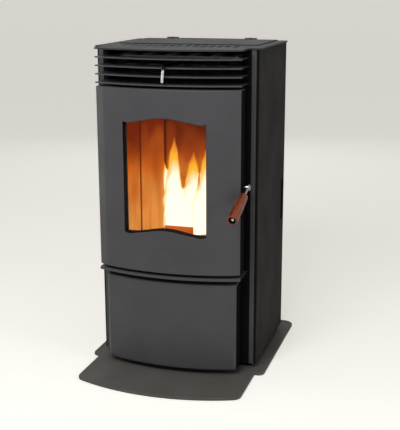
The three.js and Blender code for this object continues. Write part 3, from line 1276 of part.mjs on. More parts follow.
// ---------------------------------------------------------------- latch

// The latch turns about X; at rest the lever runs forward and down from its hub.
const latch = assembly(HALF_DOOR, LATCH_Y, LATCH_Z);
latch.rotation.x = THREE.MathUtils.degToRad(LEVER_ANGLE);
const hubMiddle = LATCH_HUB_OFFSET + LATCH_HUB_LENGTH / 2;
const gripStart = LEVER_LENGTH - GRIP_LENGTH;

function latchLever() {
  const inside = camPlane() - HALF_DOOR - GAP;
  const shaft = bar(LATCH_SHAFT, point3(inside, 0, 0), point3(LATCH_HUB_OFFSET + 1, 0, 0), 16);
  const chamfer = 2;
  const profile = [
    [0, 0],
    [LATCH_HUB - chamfer, 0],
    [LATCH_HUB, chamfer],
    [LATCH_HUB, LATCH_HUB_LENGTH - chamfer],
    [LATCH_HUB - chamfer, LATCH_HUB_LENGTH],
    [0, LATCH_HUB_LENGTH],
  ];
  const hub = turned(profile, point3(LATCH_HUB_OFFSET, 0, 0), point3(LATCH_HUB_OFFSET + 1, 0, 0), 24);
  const rodEnd = LEVER_LENGTH - GRIP_BORE_DEPTH - GAP - 6;
  const rod = bar(LEVER_ROD, point3(hubMiddle, 0, 0), point3(hubMiddle, -rodEnd, 0), 16);
  return union(shaft, hub, rod);
}

// A barrel-shaped grip, bored for the rod and counterbored at its free end.
function latchGrip() {
  const bore = LEVER_ROD + GAP;
  const swell = (t) => GRIP_END_RADIUS + (GRIP_MID_RADIUS - GRIP_END_RADIUS) * Math.sin(Math.PI * t);
  const steps = 6;
  const side = Array.from({ length: steps + 1 }, (_, i) => {
    const t = i / steps;
    return [swell(t), 1.5 + (GRIP_LENGTH - 3) * t];
  });
  const profile = [
    [bore, 0],
    [GRIP_END_RADIUS - 1.5, 0],
    ...side,
    [GRIP_END_RADIUS - 1.5, GRIP_LENGTH],
    [GRIP_BORE, GRIP_LENGTH],
    [GRIP_BORE, GRIP_LENGTH - GRIP_BORE_DEPTH],
    [bore, GRIP_LENGTH - GRIP_BORE_DEPTH],
    [bore, 0],
  ];
  return turned(profile, point3(hubMiddle, -gripStart, 0), point3(hubMiddle, -LEVER_LENGTH, 0), 20);
}

function gripScrew() {
  const seat = LEVER_LENGTH - GRIP_BORE_DEPTH;
  const head = [[0, 0], [GRIP_SCREW + 1.5, 0], [GRIP_SCREW + 1.5, 2], [GRIP_SCREW - 1, 4], [0, 4]];
  return turned(head, point3(hubMiddle, -seat - GAP, 0), point3(hubMiddle, -LEVER_LENGTH, 0), 16);
}

// A finger on the shaft's inner end that swings down from its catch as the lever lifts.
function latchCam() {
  const x0 = camPlane() - HALF_DOOR;
  const hole = circle(0, 0, LATCH_SHAFT + GAP, 16);
  const start = CAM_HEIGHT / 2;
  const outline = [
    ...arc(0, 0, start, Math.PI / 2, (3 * Math.PI) / 2, 8),
    point2(CAM_LENGTH - 5, -CAM_HEIGHT / 2 + 3),
    point2(CAM_LENGTH, -CAM_HEIGHT / 2 + 6),
    point2(CAM_LENGTH, 1),
    point2(CAM_LENGTH - 8, 3),
  ];
  const finger = prismX(outline, x0, x0 + CAM_THICKNESS);
  const bore = prismX(hole, x0 - 1, x0 + CAM_THICKNESS + 1);
  const turn = new THREE.Matrix4().makeRotationX(-latch.rotation.x);
  return toGeometry(cut(finger, bore)).applyMatrix4(turn);
}

function latchCatch() {
  const x0 = camPlane();
  const z = LATCH_Z + CAM_HEIGHT / 2 + 1;
  const base = z - CATCH_TONGUE + 1;
  const foot = block(x0 - 1, x0 + CAM_THICKNESS + 1, -GAP - SHEET, -GAP, base, base + CATCH_HEIGHT);
  const tongue = block(x0 - 1, x0 + CAM_THICKNESS + 1, -CATCH_REACH, -GAP - SHEET + 1, z, z + CATCH_TONGUE);
  return union(foot, tongue);
}

place(latch, 'latch_grip', latchGrip(), 'wood');
place(latch, 'grip_screw', gripScrew(), 'steel');
place(latch, 'latch_cam', latchCam(), 'steel');
place(latch, 'latch_lever', latchLever(), 'chrome');
place(cabinet, 'latch_catch', latchCatch(), 'steel');

// ---------------------------------------------------------------- hopper lid

const LID_AXIS_Y = CABINET_DEPTH - LID_HINGE_RADIUS;
const LID_AXIS_Z = TOP_Z + GAP + LID_HINGE_RADIUS;
const lid = assembly(0, 0, 0);
const hingeThird = LID_HINGE_LENGTH / 3;

function lidHingeBar(centre, from, to, radius, sides = 12) {
  const start = point3(centre + from, LID_AXIS_Y, LID_AXIS_Z);
  return bar(radius, start, point3(centre + to, LID_AXIS_Y, LID_AXIS_Z), sides);
}

function hopperLid() {
  const half = LID_WIDTH / 2;
  const rear = LID_AXIS_Y - LID_HINGE_RADIUS - 2 * GAP;
  const bottom = TOP_Z + GAP;
  const outline = roundedRectangle(-half, half, LID_FRONT, rear, LID_CORNER, PLATE);
  const plate = prismZ(outline, bottom, bottom + LID_THICKNESS);
  const skirtHalf = HOPPER_HALF - SHEET;
  const skirtRear = HOPPER_REAR - 2 * SHEET;
  const outer = rectangle(-skirtHalf, skirtHalf, HOPPER_FRONT + SHEET, skirtRear);
  const inner = rectangle(SHEET - skirtHalf, skirtHalf - SHEET, HOPPER_FRONT + 2 * SHEET, skirtRear - SHEET);
  const skirt = prismZ(outer, TOP_Z - LID_SKIRT, bottom + 1, [inner]);
  const eyes = [-1, 1].flatMap((side) => {
    const centre = (side * LID_HINGE_SPREAD) / 2;
    const inset = hingeThird / 2 - GAP;
    const eye = lidHingeBar(centre, -inset, inset, LID_HINGE_RADIUS);
    const tab = block(centre - inset, centre + inset, rear - 2, LID_AXIS_Y, bottom, bottom + LID_THICKNESS);
    return [eye, tab];
  });
  const bores = [-1, 1].map((side) => {
    const centre = (side * LID_HINGE_SPREAD) / 2;
    return lidHingeBar(centre, -hingeThird, hingeThird, LID_HINGE_RADIUS / 2 + 0.2);
  });
  return cut(union(plate, skirt, ...eyes), ...bores);
}

// The fixed half of the lid's hinges: two pairs of eyes with their pins on one strip.
function lidHinge() {
  const inner = hingeThird / 2;
  const outer = LID_HINGE_LENGTH / 2;
  const y0 = LID_AXIS_Y - LID_HINGE_RADIUS + GAP;
  const seat = TOP_Z + GAP;
  const foot = (from, to) => block(from, to, y0, CABINET_DEPTH, seat, LID_AXIS_Z);
  const reach = LID_HINGE_SPREAD / 2 - outer + 1;
  const pairs = [-1, 1].flatMap((side) => {
    const centre = (side * LID_HINGE_SPREAD) / 2;
    return [
      lidHingeBar(centre, -outer, -inner, LID_HINGE_RADIUS),
      lidHingeBar(centre, inner, outer, LID_HINGE_RADIUS),
      lidHingeBar(centre, -outer + 1, outer - 1, LID_HINGE_RADIUS / 2),
      foot(centre - outer, centre - inner),
      foot(centre + inner, centre + outer),
    ];
  });
  return union(foot(-reach, reach), ...pairs);
}

place(lid, 'hopper_lid', hopperLid(), 'topGrey');
place(cabinet, 'lid_hinge', lidHinge(), 'steel');

// ---------------------------------------------------------------- ash drawer

const drawer = assembly(0, 0, 0);
const PAN_HALF = PAN_WIDTH / 2;
const PAN_BOTTOM = CABINET_BOTTOM + PAN_LIFT;

function drawerFront() {
  const outer = bowOutline({
    width: DRAWER_WIDTH,
    reach: DRAWER_REACH,
    back: -DRAWER_BACK,
    corner: DRAWER_CORNER,
  });
  const inner = bowOutline({
    width: DRAWER_WIDTH - 2 * DRAWER_WALL,
    reach: DRAWER_REACH - DRAWER_WALL,
    back: 1,
    corner: DRAWER_CORNER - DRAWER_WALL,
    radius: BOW_RADIUS - DRAWER_WALL,
  });
  const hollow = prismZ(inner, DRAWER_BOTTOM + DRAWER_WALL, DRAWER_TOP - DRAWER_WALL);
  return cut(prismZ(outer, DRAWER_BOTTOM, DRAWER_TOP), hollow);
}

// The ash pan, with the plate that closes the back of the drawer front.
function ashPan() {
  const width = DRAWER_WIDTH / 2 - DRAWER_WALL - GAP;
  const low = DRAWER_BOTTOM + DRAWER_WALL + GAP;
  const plate = block(-width, width, -DRAWER_BACK - SHEET, -DRAWER_BACK, low, DRAWER_TOP - DRAWER_WALL - GAP);
  const shell = block(-PAN_HALF, PAN_HALF, -DRAWER_BACK - 1, PAN_REAR, PAN_BOTTOM, PAN_BOTTOM + PAN_HEIGHT);
  const half = PAN_HALF - SHEET;
  const floor = PAN_BOTTOM + SHEET;
  const inside = block(-half, half, -DRAWER_BACK, PAN_REAR - SHEET, floor, PAN_BOTTOM + PAN_HEIGHT + 1);
  return union(plate, cut(shell, inside));
}

// An angle runner that stands on the cabinet floor and carries one edge of the pan.
function drawerRunner(side) {
  const foot = CABINET_BOTTOM + SHEET + GAP;
  const ledge = PAN_BOTTOM - GAP;
  const inner = PAN_HALF + GAP;
  const section = [
    point2(inner, foot),
    point2(inner + RUNNER_SHEET, foot),
    point2(inner + RUNNER_SHEET, PAN_BOTTOM + RUNNER_RISE),
    point2(inner, PAN_BOTTOM + RUNNER_RISE),
    point2(inner, ledge),
    point2(inner - RUNNER_LEDGE, ledge),
    point2(inner - RUNNER_LEDGE, ledge - RUNNER_SHEET),
    point2(inner, ledge - RUNNER_SHEET),
  ];
  return prismY(section.map((p) => point2(side * p.x, p.y)), SHEET + GAP, PAN_REAR);
}

place(drawer, 'drawer_front', drawerFront(), 'charcoal');
place(drawer, 'ash_pan', ashPan(), 'steel');
place(cabinet, 'drawer_runner_left', drawerRunner(-1), 'steel');
place(cabinet, 'drawer_runner_right', drawerRunner(1), 'steel');

export default stove;
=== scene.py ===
"""Free-standing pellet stove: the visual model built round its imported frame.

Metres, +Z up, in the frame's own axes: +X is to the viewer's right, +Y runs from the
cabinet's front plane to the back. Each sub-assembly is a class that builds and dresses
its own pieces; the finishes are small classes of their own.
"""

import json
import logging
import math
from collections.abc import Callable, Iterable, Iterator, Sequence
from contextlib import contextmanager
from dataclasses import dataclass
from enum import Enum
from typing import Any

import bmesh
import bpy
from mathutils import Euler, Matrix, Vector, noise

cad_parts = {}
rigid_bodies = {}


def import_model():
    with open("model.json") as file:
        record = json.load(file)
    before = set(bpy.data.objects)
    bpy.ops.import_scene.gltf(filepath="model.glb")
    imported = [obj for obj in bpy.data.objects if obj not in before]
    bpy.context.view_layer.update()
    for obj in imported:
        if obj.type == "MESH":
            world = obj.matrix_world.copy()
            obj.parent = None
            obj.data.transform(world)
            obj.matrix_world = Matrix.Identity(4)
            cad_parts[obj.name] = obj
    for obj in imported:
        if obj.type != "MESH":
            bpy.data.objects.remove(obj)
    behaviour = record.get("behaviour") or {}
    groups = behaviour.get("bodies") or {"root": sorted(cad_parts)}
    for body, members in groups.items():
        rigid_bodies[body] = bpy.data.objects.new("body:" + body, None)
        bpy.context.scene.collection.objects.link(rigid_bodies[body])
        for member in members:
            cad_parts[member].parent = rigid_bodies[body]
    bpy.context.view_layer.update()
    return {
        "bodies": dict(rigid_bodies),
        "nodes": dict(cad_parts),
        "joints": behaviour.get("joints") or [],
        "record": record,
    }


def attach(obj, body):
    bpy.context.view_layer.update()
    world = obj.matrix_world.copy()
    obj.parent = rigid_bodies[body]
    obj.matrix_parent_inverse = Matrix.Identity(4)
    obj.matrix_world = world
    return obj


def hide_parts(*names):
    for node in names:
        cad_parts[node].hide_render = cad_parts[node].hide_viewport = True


log = logging.getLogger("pellet_stove")

BOW_RADIUS = 0.570  # every bowed front is an arc of this radius
CABINET_HALF = 0.225
CABINET_DEPTH = 0.335
CABINET_BOTTOM = 0.022
SHEET = 0.002
WELD_DISTANCE = 1e-5
FLAT_ANGLE = math.radians(0.5)
SHARP_ANGLE = math.radians(32)
FOLD_ANGLE = math.radians(60)
RIM_ANGLE = math.radians(50)
ORIGIN = Vector((0, 0, 0))
X_AXIS = Vector((1, 0, 0))
Y_AXIS = Vector((0, 1, 0))

Point = tuple[float, float]
Place = tuple[float, float, float]
Settings = dict[str, Any]
Face = tuple[int, ...]
MeshObject = bpy.types.Object
Socket = bpy.types.NodeSocket
Tree = bpy.types.NodeTree


class Slot(Enum):
    """The record's material slots."""

    HEARTH = "hearth_paint"
    CHARCOAL = "charcoal_paint"
    TOP = "top_paint"
    SIDE = "side_paint"
    BLACK = "black_paint"
    IRON = "firebox_iron"
    BRICK = "firebrick"
    STEEL = "plain_steel"
    CHROME = "chrome"
    MOTOR = "motor_paint"
    PLASTIC = "black_plastic"
    ROPE = "rope"
    GLASS = "ceramic_glass"
    WOOD = "wood"


class Body(Enum):
    """The moving bodies of the stove that a piece can ride on."""

    STOVE = "stove"
    DOOR = "door"
    LATCH = "latch"
    LID = "lid"
    DRAWER = "drawer"
    SCRAPER = "scraper"


class Side(Enum):
    """The cabinet's two sides, with the sign of their x."""

    LEFT = -1
    RIGHT = 1

    def label(self) -> str:
        """The side's name in piece and node names."""
        return self.name.lower()


# ---------------------------------------------------------------- node helpers


def linear(colour: str) -> tuple[float, float, float, float]:
    """Turns an sRGB hex colour into a linear one.

    Args:
        colour: The colour as "#rrggbb".

    Returns:
        Linear red, green and blue, and an alpha of 1.
    """
    parts = [int(colour[i : i + 2], 16) / 255 for i in (1, 3, 5)]
    curve = [c / 12.92 if c <= 0.04045 else ((c + 0.055) / 1.055) ** 2.4 for c in parts]
    return curve[0], curve[1], curve[2], 1.0


def add_node(tree: Tree, kind: str, inputs: dict[Any, Any] | None = None, **settings: Any) -> bpy.types.Node:
    """Adds a node, sets it and links it.

    Args:
        tree: The tree that the node goes into.
        kind: The node's type name.
        inputs: Socket name or index, with the value or the socket that feeds it.
        **settings: Attributes of the node.

    Returns:
        The new node.
    """
    node = tree.nodes.new(kind)
    for name, value in settings.items():
        setattr(node, name, value)
    for key, value in (inputs or {}).items():
        if isinstance(value, Socket):
            tree.links.new(value, node.inputs[key])
        else:
            node.inputs[key].default_value = value
    return node


MIX_A = 6
MIX_B = 7
MIX_RESULT = 2
NOISE_RANGE = (0.3, 0.7)  # nearly all of a noise's values lie in it


def colour_of(colour: Any) -> Any:
    """Makes a hex colour linear, and leaves a socket as it is."""
    return linear(colour) if isinstance(colour, str) else colour


@dataclass(frozen=True)
class Canvas:
    """A material's tree with its Object coordinates, and the nodes that finishes share."""

    tree: Tree
    place: Socket

    def mix(self, factor: Any, first: Any, second: Any) -> Socket:
        """Mixes two colours.

        Args:
            factor: Share of the second colour, a number or a socket.
            first: The first colour, in hex or as a socket.
            second: The second colour, in hex or as a socket.

        Returns:
            The socket of the mixed colour.
        """
        inputs = {0: factor, MIX_A: colour_of(first), MIX_B: colour_of(second)}
        return add_node(self.tree, "ShaderNodeMix", inputs, data_type="RGBA").outputs[MIX_RESULT]

    def spread(self, value: Socket, source: Point = NOISE_RANGE, target: Point = (0, 1)) -> Socket:
        """Maps a value from one range to another, clamped.

        Args:
            value: The socket to map.
            source: Range read.
            target: Range given.

        Returns:
            The mapped socket.
        """
        ends = {"From Min": source[0], "From Max": source[1], "To Min": target[0], "To Max": target[1]}
        return add_node(self.tree, "ShaderNodeMapRange", {"Value": value, **ends}).outputs["Result"]

    def noise(self, size: float, octaves: float, place: Socket | None = None) -> Socket:
        """A noise whose features are of a real size.

        Args:
            size: Size of a feature in metres.
            octaves: Octaves of finer noise on top.
            place: Coordinates in metres, where they aren't the object's own.

        Returns:
            The noise's value socket, from 0 to 1.
        """
        inputs = {"Vector": place or self.place, "Scale": 1 / size, "Detail": octaves}
        return add_node(self.tree, "ShaderNodeTexNoise", inputs).outputs["Fac"]

    def stretched(self, scale: Place, place: Socket | None = None) -> Socket:
        """Coordinates scaled along each axis."""
        inputs = {"Vector": place or self.place, "Scale": scale}
        return add_node(self.tree, "ShaderNodeMapping", inputs).outputs["Vector"]

    def combine(self, operation: str, first: Any, second: Any = 0.0) -> Socket:
        """One step of arithmetic on one or two values."""
        return add_node(self.tree, "ShaderNodeMath", {0: first, 1: second}, operation=operation).outputs[0]

    def axis(self, name: str) -> Socket:
        """The object's own X, Y or Z."""
        return add_node(self.tree, "ShaderNodeSeparateXYZ", {0: self.place}).outputs[name]

    def bump(self, height: Socket, strength: float, distance: float) -> Socket:
        """The normal of a surface with a fine relief."""
        inputs = {"Height": height, "Strength": strength, "Distance": distance}
        return add_node(self.tree, "ShaderNodeBump", inputs).outputs["Normal"]

    def principled(self, colour: Any, roughness: Any, more: Settings) -> Socket:
        """A Principled shader.

        Args:
            colour: Base colour, in hex or as a socket.
            roughness: A number or a socket.
            more: Further inputs by name.

        Returns:
            The shader's socket.
        """
        inputs = {"Base Color": colour_of(colour), "Roughness": roughness, **more}
        return add_node(self.tree, "ShaderNodeBsdfPrincipled", inputs).outputs["BSDF"]

    def blend(self, share: Socket, first: Socket, second: Socket) -> Socket:
        """Mixes two shaders by the share of the second."""
        return add_node(self.tree, "ShaderNodeMixShader", {0: share, 1: first, 2: second}).outputs[0]


# ---------------------------------------------------------------- finishes


@dataclass(frozen=True)
class Finish:
    """What a surface is made of and how it looks."""

    name: str

    def material(self) -> bpy.types.Material:
        """Builds the finish's material.

        Returns:
            The new material, with the finish's shader as its surface.
        """
        material = bpy.data.materials.new(self.name)
        material.use_nodes = True
        tree = material.node_tree
        tree.nodes.clear()
        place = add_node(tree, "ShaderNodeTexCoord").outputs["Object"]
        add_node(tree, "ShaderNodeOutputMaterial", {"Surface": self.shader(Canvas(tree, place))})
        return material

    def shader(self, canvas: Canvas) -> Socket:
        """Builds the finish's nodes on a canvas and gives its shader."""
        raise NotImplementedError


@dataclass(frozen=True)
class PowderCoat(Finish):
    """Heat-proof paint on sheet steel, sprayed and baked: a satin skin with orange peel.

    The peel's real size of about 1 mm is drawn at 2.4 mm, because finer doesn't show.
    Slow clouds in the coat keep large faces from looking flat.
    """

    colour: str
    cloud_colour: str
    roughness: float = 0.45
    specular: float = 0.24
    peel: float = 0.0024
    cloud: float = 0.11
    dust: float = 0.0011
    dust_colour: str = "#8c8a86"
    unevenness: float = 0.05

    def shader(self, canvas: Canvas) -> Socket:
        """Lays clouds, dust and peel over the paint.

        Args:
            canvas: The material's canvas.

        Returns:
            The paint's shader.
        """
        clouds = canvas.noise(self.cloud, 3)
        base = canvas.mix(canvas.spread(clouds, (0.35, 0.68)), self.colour, self.cloud_colour)
        specks = canvas.spread(canvas.noise(self.dust, 0), (0.66, 0.82), (0, 0.14))
        ends = (self.roughness - self.unevenness, self.roughness + self.unevenness)
        normal = canvas.bump(canvas.noise(self.peel, 1.5), 0.16, 0.0004)
        more = {"Normal": normal, "Specular IOR Level": self.specular}
        tint = canvas.mix(specks, base, self.dust_colour)
        return canvas.principled(tint, canvas.spread(clouds, NOISE_RANGE, ends), more)


@dataclass(frozen=True)
class PlatedSteel(Finish):
    """Bright nickel-chrome plating on a turned rod: mirror-like with faint smears.

    Above a given height the plating is painted near black: painted shade and a painted dark reflection where
    the rod bends.
    """

    colour: str = "#828386"
    roughness: float = 0.22
    blued_from: float | None = None
    smear: float = 0.006
    smear_colour: str = "#77787c"
    blued_colour: str = "#141316"
    blued_edge: float = 0.002

    def shader(self, canvas: Canvas) -> Socket:
        """Smears the plating and paints shade over its upper part.

        Args:
            canvas: The material's canvas.

        Returns:
            The plating's shader.
        """
        smears = canvas.noise(self.smear, 3)
        gloss = canvas.spread(smears, NOISE_RANGE, (self.roughness - 0.04, self.roughness + 0.08))
        tint = canvas.mix(canvas.spread(smears, (0.4, 0.75), (0, 0.5)), self.colour, self.smear_colour)
        # Painted shade: above the given height the plating is painted near black, for the shade and dark
        # reflection at the rod's bend.
        if self.blued_from is not None:
            edge = (self.blued_from - self.blued_edge, self.blued_from + self.blued_edge)
            tint = canvas.mix(canvas.spread(canvas.axis("Z"), edge), tint, self.blued_colour)
        return canvas.principled(tint, gloss, {"Metallic": 1.0})


@dataclass(frozen=True)
class SheetSteel(Finish):
    """Cold-rolled sheet, plain or zinc-coated: grey metal with rolling lines along Z."""

    colour: str = "#8b8e91"
    shade: str = "#6f7275"
    roughness: float = 0.42
    line: float = 0.0018
    line_colour: str = "#4c4e50"
    blotch: float = 0.05

    def shader(self, canvas: Canvas) -> Socket:
        """Lays blotches and rolling lines on the metal.

        Args:
            canvas: The material's canvas.

        Returns:
            The sheet's shader.
        """
        lines = canvas.noise(self.line, 3, canvas.stretched((1, 1, 0.05)))
        worn = canvas.mix(canvas.spread(canvas.noise(self.blotch, 4), (0.35, 0.7)), self.colour, self.shade)
        tint = canvas.mix(canvas.spread(lines, NOISE_RANGE, (0, 0.3)), worn, self.line_colour)
        gloss = canvas.spread(lines, NOISE_RANGE, (self.roughness - 0.08, self.roughness + 0.12))
        return canvas.principled(tint, gloss, {"Metallic": 0.9, "Normal": canvas.bump(lines, 0.12, 0.0003)})


@dataclass(frozen=True)
class TurnedHardwood(Finish):
    """A lathe-turned hardwood grip, stained red-brown and lacquered.

    The grain runs along the lever, which hangs 18 degrees below level, with pores
    stretched along it and a clear coat that gives a soft highlight.
    """

    heart: str = "#571d09"
    grain: str = "#1c0602"
    flame: str = "#95421b"
    lever_angle: float = 18.0
    figure: float = 0.005
    pore: float = 0.0018

    def shader(self, canvas: Canvas) -> Socket:
        """Draws figure and pores along the lever.

        Args:
            canvas: The material's canvas.

        Returns:
            The wood's shader.
        """
        turn = {"Vector": canvas.place, "Rotation": (math.radians(-self.lever_angle), 0, 0)}
        level = add_node(canvas.tree, "ShaderNodeMapping", turn).outputs["Vector"]
        along = canvas.stretched((1, 0.07, 1), level)
        figure = canvas.noise(self.figure, 4, along)
        pores = canvas.noise(self.pore, 2, along)
        warm = canvas.mix(canvas.spread(figure, (0.35, 0.68)), self.heart, self.flame)
        dark = canvas.mix(canvas.spread(pores, (0.5, 0.72), (0, 0.85)), warm, self.grain)
        more = {
            "Normal": canvas.bump(pores, 0.2, 0.0003),
            "Specular IOR Level": 0.3,
            "Coat Weight": 0.12,
            "Coat Roughness": 0.25,
        }
        return canvas.principled(dark, canvas.spread(figure, NOISE_RANGE, (0.42, 0.55)), more)


@dataclass(frozen=True)
class CeramicGlass(Finish):
    """Heat-proof glass ceramic: clear, slightly brown, with a sheen at a low angle and some haze."""

    tint: str = "#f6efe6"
    haze: float = 0.06
    sheen_ior: float = 1.14

    def shader(self, canvas: Canvas) -> Socket:
        """Lays a hazy sheen over clear glass.

        Args:
            canvas: The material's canvas.

        Returns:
            The pane's shader.
        """
        gloss = canvas.spread(canvas.noise(self.haze, 3), NOISE_RANGE, (0.03, 0.09))
        clear = add_node(canvas.tree, "ShaderNodeBsdfTransparent", {"Color": linear(self.tint)})
        mirror = add_node(canvas.tree, "ShaderNodeBsdfGlossy", {"Roughness": gloss})
        edge = add_node(canvas.tree, "ShaderNodeFresnel", {"IOR": self.sheen_ior})
        return canvas.blend(edge.outputs[0], clear.outputs[0], mirror.outputs[0])


@dataclass(frozen=True)
class GlowAndPaintedFirelight:
    """How a surface glows: embers from their own heat, the burn pot from its heat with firelight painted in,
    the firebrick and the baffle with painted firelight from the flames; its colour low down and high up, and
    how strongly.
    """

    low: str
    middle: str
    high: str
    bottom: float
    top: float
    strength: float
    patch: float = 0.07
    wander: float = 0.035

    def colour(self, canvas: Canvas) -> Socket:
        """Gives the glow's colour at each height.

        Args:
            canvas: The canvas of the material that glows.

        Returns:
            The socket of the glow's colour.
        """
        wander = canvas.spread(canvas.noise(self.patch, 3), NOISE_RANGE, (-self.wander, self.wander))
        level = canvas.combine("ADD", canvas.axis("Z"), wander)
        middle = (self.bottom + self.top) / 2
        lower = canvas.mix(canvas.spread(level, (self.bottom, middle)), self.low, self.middle)
        return canvas.mix(canvas.spread(level, (middle, self.top)), lower, self.high)

    def inputs(self, colour: Socket) -> Settings:
        """The Principled inputs that make a colour glow this strongly."""
        return {"Emission Color": colour, "Emission Strength": self.strength}


@dataclass(frozen=True)
class FirebrickWithPaintedFirelight(Finish):
    """Vermiculite firebrick board: matt, grainy, pressed with flakes of a few mm, with the fire's light on it
    painted in as a glow.

    A dark band lies along an upright joint, the joint itself and painted shade round it: its axis, its place
    on it and the band's half width.
    """

    colour: str
    glow: GlowAndPaintedFirelight
    joint: tuple[str, float, float]
    flake: float = 0.004
    flake_colour: str = "#3a1404"
    soot: float = 0.022
    soot_colour: str = "#5e2206"
    joint_colour: str = "#3c0f05"

    def shader(self, canvas: Canvas) -> Socket:
        """Stains the board with soot and flakes, darkens its joint with painted shade round it, and paints in
        the fire's light.

        Args:
            canvas: The material's canvas.

        Returns:
            The brick's shader.
        """
        flakes = canvas.noise(self.flake, 3)
        soot = canvas.noise(self.soot, 3, canvas.stretched((1, 1, 0.12)))
        stain = canvas.spread(soot, (0.42, 0.7), (0, 0.32))
        stained = canvas.mix(stain, self.glow.colour(canvas), self.soot_colour)
        grained = canvas.mix(canvas.spread(flakes, NOISE_RANGE, (0, 0.22)), stained, self.flake_colour)
        # Painted shade: darkest at the joint, fading out across the band.
        axis, place, reach = self.joint
        beside = canvas.combine("SUBTRACT", canvas.axis(axis), place)
        near = canvas.spread(canvas.combine("ABSOLUTE", beside), (0.2 * reach, reach), (0.85, 0))
        # Painted firelight: the fire's light on the board, painted in as emission.
        glow = self.glow.inputs(canvas.mix(near, grained, self.joint_colour))
        more = {"Normal": canvas.bump(flakes, 0.4, 0.001), "Specular IOR Level": 0.15, **glow}
        return canvas.principled(self.colour, 0.92, more)


@dataclass(frozen=True)
class SootedIron(Finish):
    """Grey cast iron in the fire: matt black-brown, sand-cast grain of about 1.5 mm, ash dust."""

    colour: str = "#2b2421"
    ash: str = "#5a4f48"
    glow: GlowAndPaintedFirelight | None = None
    sand: float = 0.0015
    patch: float = 0.025

    def shader(self, canvas: Canvas) -> Socket:
        """Lays ash and casting grain on the iron.

        Args:
            canvas: The material's canvas.

        Returns:
            The iron's shader.
        """
        sand = canvas.noise(self.sand, 2)
        dusty = canvas.spread(canvas.noise(self.patch, 4), (0.5, 0.75), (0, 0.6))
        more = {"Metallic": 0.2, "Normal": canvas.bump(sand, 0.35, 0.0006)}
        if self.glow:
            more |= self.glow.inputs(self.glow.colour(canvas))
        tint = canvas.mix(dusty, self.colour, self.ash)
        return canvas.principled(tint, canvas.spread(sand, NOISE_RANGE, (0.7, 0.9)), more)


@dataclass(frozen=True)
class GlassRope(Finish):
    """Braided glass-fibre rope: pale, matt strands of 3 mm crossing each other along the rope."""

    colour: str = "#a49d90"
    gap: str = "#4f4b45"
    strands_along: float = 330.0
    strands_round: float = 4.0

    def shader(self, canvas: Canvas) -> Socket:
        """Crosses two sets of strands on the piece's own UV map.

        Args:
            canvas: The material's canvas.

        Returns:
            The rope's shader.
        """
        uv = add_node(canvas.tree, "ShaderNodeTexCoord").outputs["UV"]
        weaves = []
        for lean in (1, -1):
            crossed = canvas.stretched((self.strands_along, self.strands_round * lean, 1), uv)
            inputs = {"Vector": crossed, "Scale": 0.5}
            wave = add_node(canvas.tree, "ShaderNodeTexWave", inputs, bands_direction="DIAGONAL")
            weaves.append(wave.outputs["Fac"])
        braid = canvas.combine("MAXIMUM", *weaves)
        more = {"Normal": canvas.bump(braid, 0.6, 0.001), "Specular IOR Level": 0.1}
        return canvas.principled(canvas.mix(braid, self.gap, self.colour), 0.95, more)


@dataclass(frozen=True)
class MouldedPlastic(Finish):
    """Glass-filled nylon, injection moulded: matt black with a fine spark-eroded grain."""

    colour: str = "#1c1c1e"
    grain_colour: str = "#2a2a2c"
    grain: float = 0.0009

    def shader(self, canvas: Canvas) -> Socket:
        """Grains the plastic.

        Args:
            canvas: The material's canvas.

        Returns:
            The plastic's shader.
        """
        grain = canvas.noise(self.grain, 1)
        tint = canvas.mix(canvas.spread(grain, NOISE_RANGE, (0, 0.4)), self.colour, self.grain_colour)
        return canvas.principled(tint, 0.58, {"Normal": canvas.bump(grain, 0.25, 0.0003)})


@dataclass(frozen=True)
class FlameLight(Finish):
    """A layer of burning gas: it only gives light, palest in its body and deepest at its tips.

    The piece's "hotness" attribute falls from 1 in the body of the flame to 0 at its tips,
    and its "fullness" attribute from 1 in the middle of a tongue to 0 at its thin sides.
    """

    body: str
    middle: str
    tip: str
    strength: float
    opacity: float
    thin_side: float
    full_side: float
    lick: float = 0.014

    def shader(self, canvas: Canvas) -> Socket:
        """Colours the flame by its heat and thins it towards its tips and sides.

        Args:
            canvas: The material's canvas.

        Returns:
            The flame's shader.
        """
        tree = canvas.tree
        heat = add_node(tree, "ShaderNodeAttribute", attribute_name="hotness").outputs["Fac"]
        depth = add_node(tree, "ShaderNodeAttribute", attribute_name="fullness").outputs["Fac"]
        licks = canvas.noise(self.lick, 3, canvas.stretched((1, 1, 0.22)))
        inside = canvas.spread(depth, (self.thin_side, self.full_side))
        warm = canvas.combine("MULTIPLY", heat, inside)
        outer = canvas.mix(canvas.spread(warm, (0.05, 0.5)), self.tip, self.middle)
        colour = canvas.mix(canvas.spread(warm, (0.5, 0.85)), outer, self.body)
        light = add_node(tree, "ShaderNodeEmission", {"Color": colour, "Strength": self.strength})
        thin = canvas.spread(licks, (0.3, 0.6), (0.6, 1))
        dense = canvas.spread(heat, (0, 0.45), (0, self.opacity))
        shown = canvas.combine("MULTIPLY", canvas.combine("MULTIPLY", thin, dense), inside)
        filled = canvas.spread(warm, (0.55, 0.95), (0, self.opacity))
        clear = add_node(tree, "ShaderNodeBsdfTransparent")
        return canvas.blend(canvas.combine("MAXIMUM", shown, filled), clear.outputs[0], light.outputs[0])


def seen_directly(tree: Tree) -> Socket:
    """Tells the rays that show the backdrop from the rays that light the stove.

    Args:
        tree: The tree that the nodes go into.

    Returns:
        A socket that is 1 for camera, glossy and transmission rays.
    """
    path = add_node(tree, "ShaderNodeLightPath").outputs
    direct = {0: path["Is Camera Ray"], 1: path["Is Glossy Ray"]}
    first = add_node(tree, "ShaderNodeMath", direct, operation="MAXIMUM")
    both = {0: first.outputs[0], 1: path["Is Transmission Ray"]}
    return add_node(tree, "ShaderNodeMath", both, operation="MAXIMUM").outputs[0]


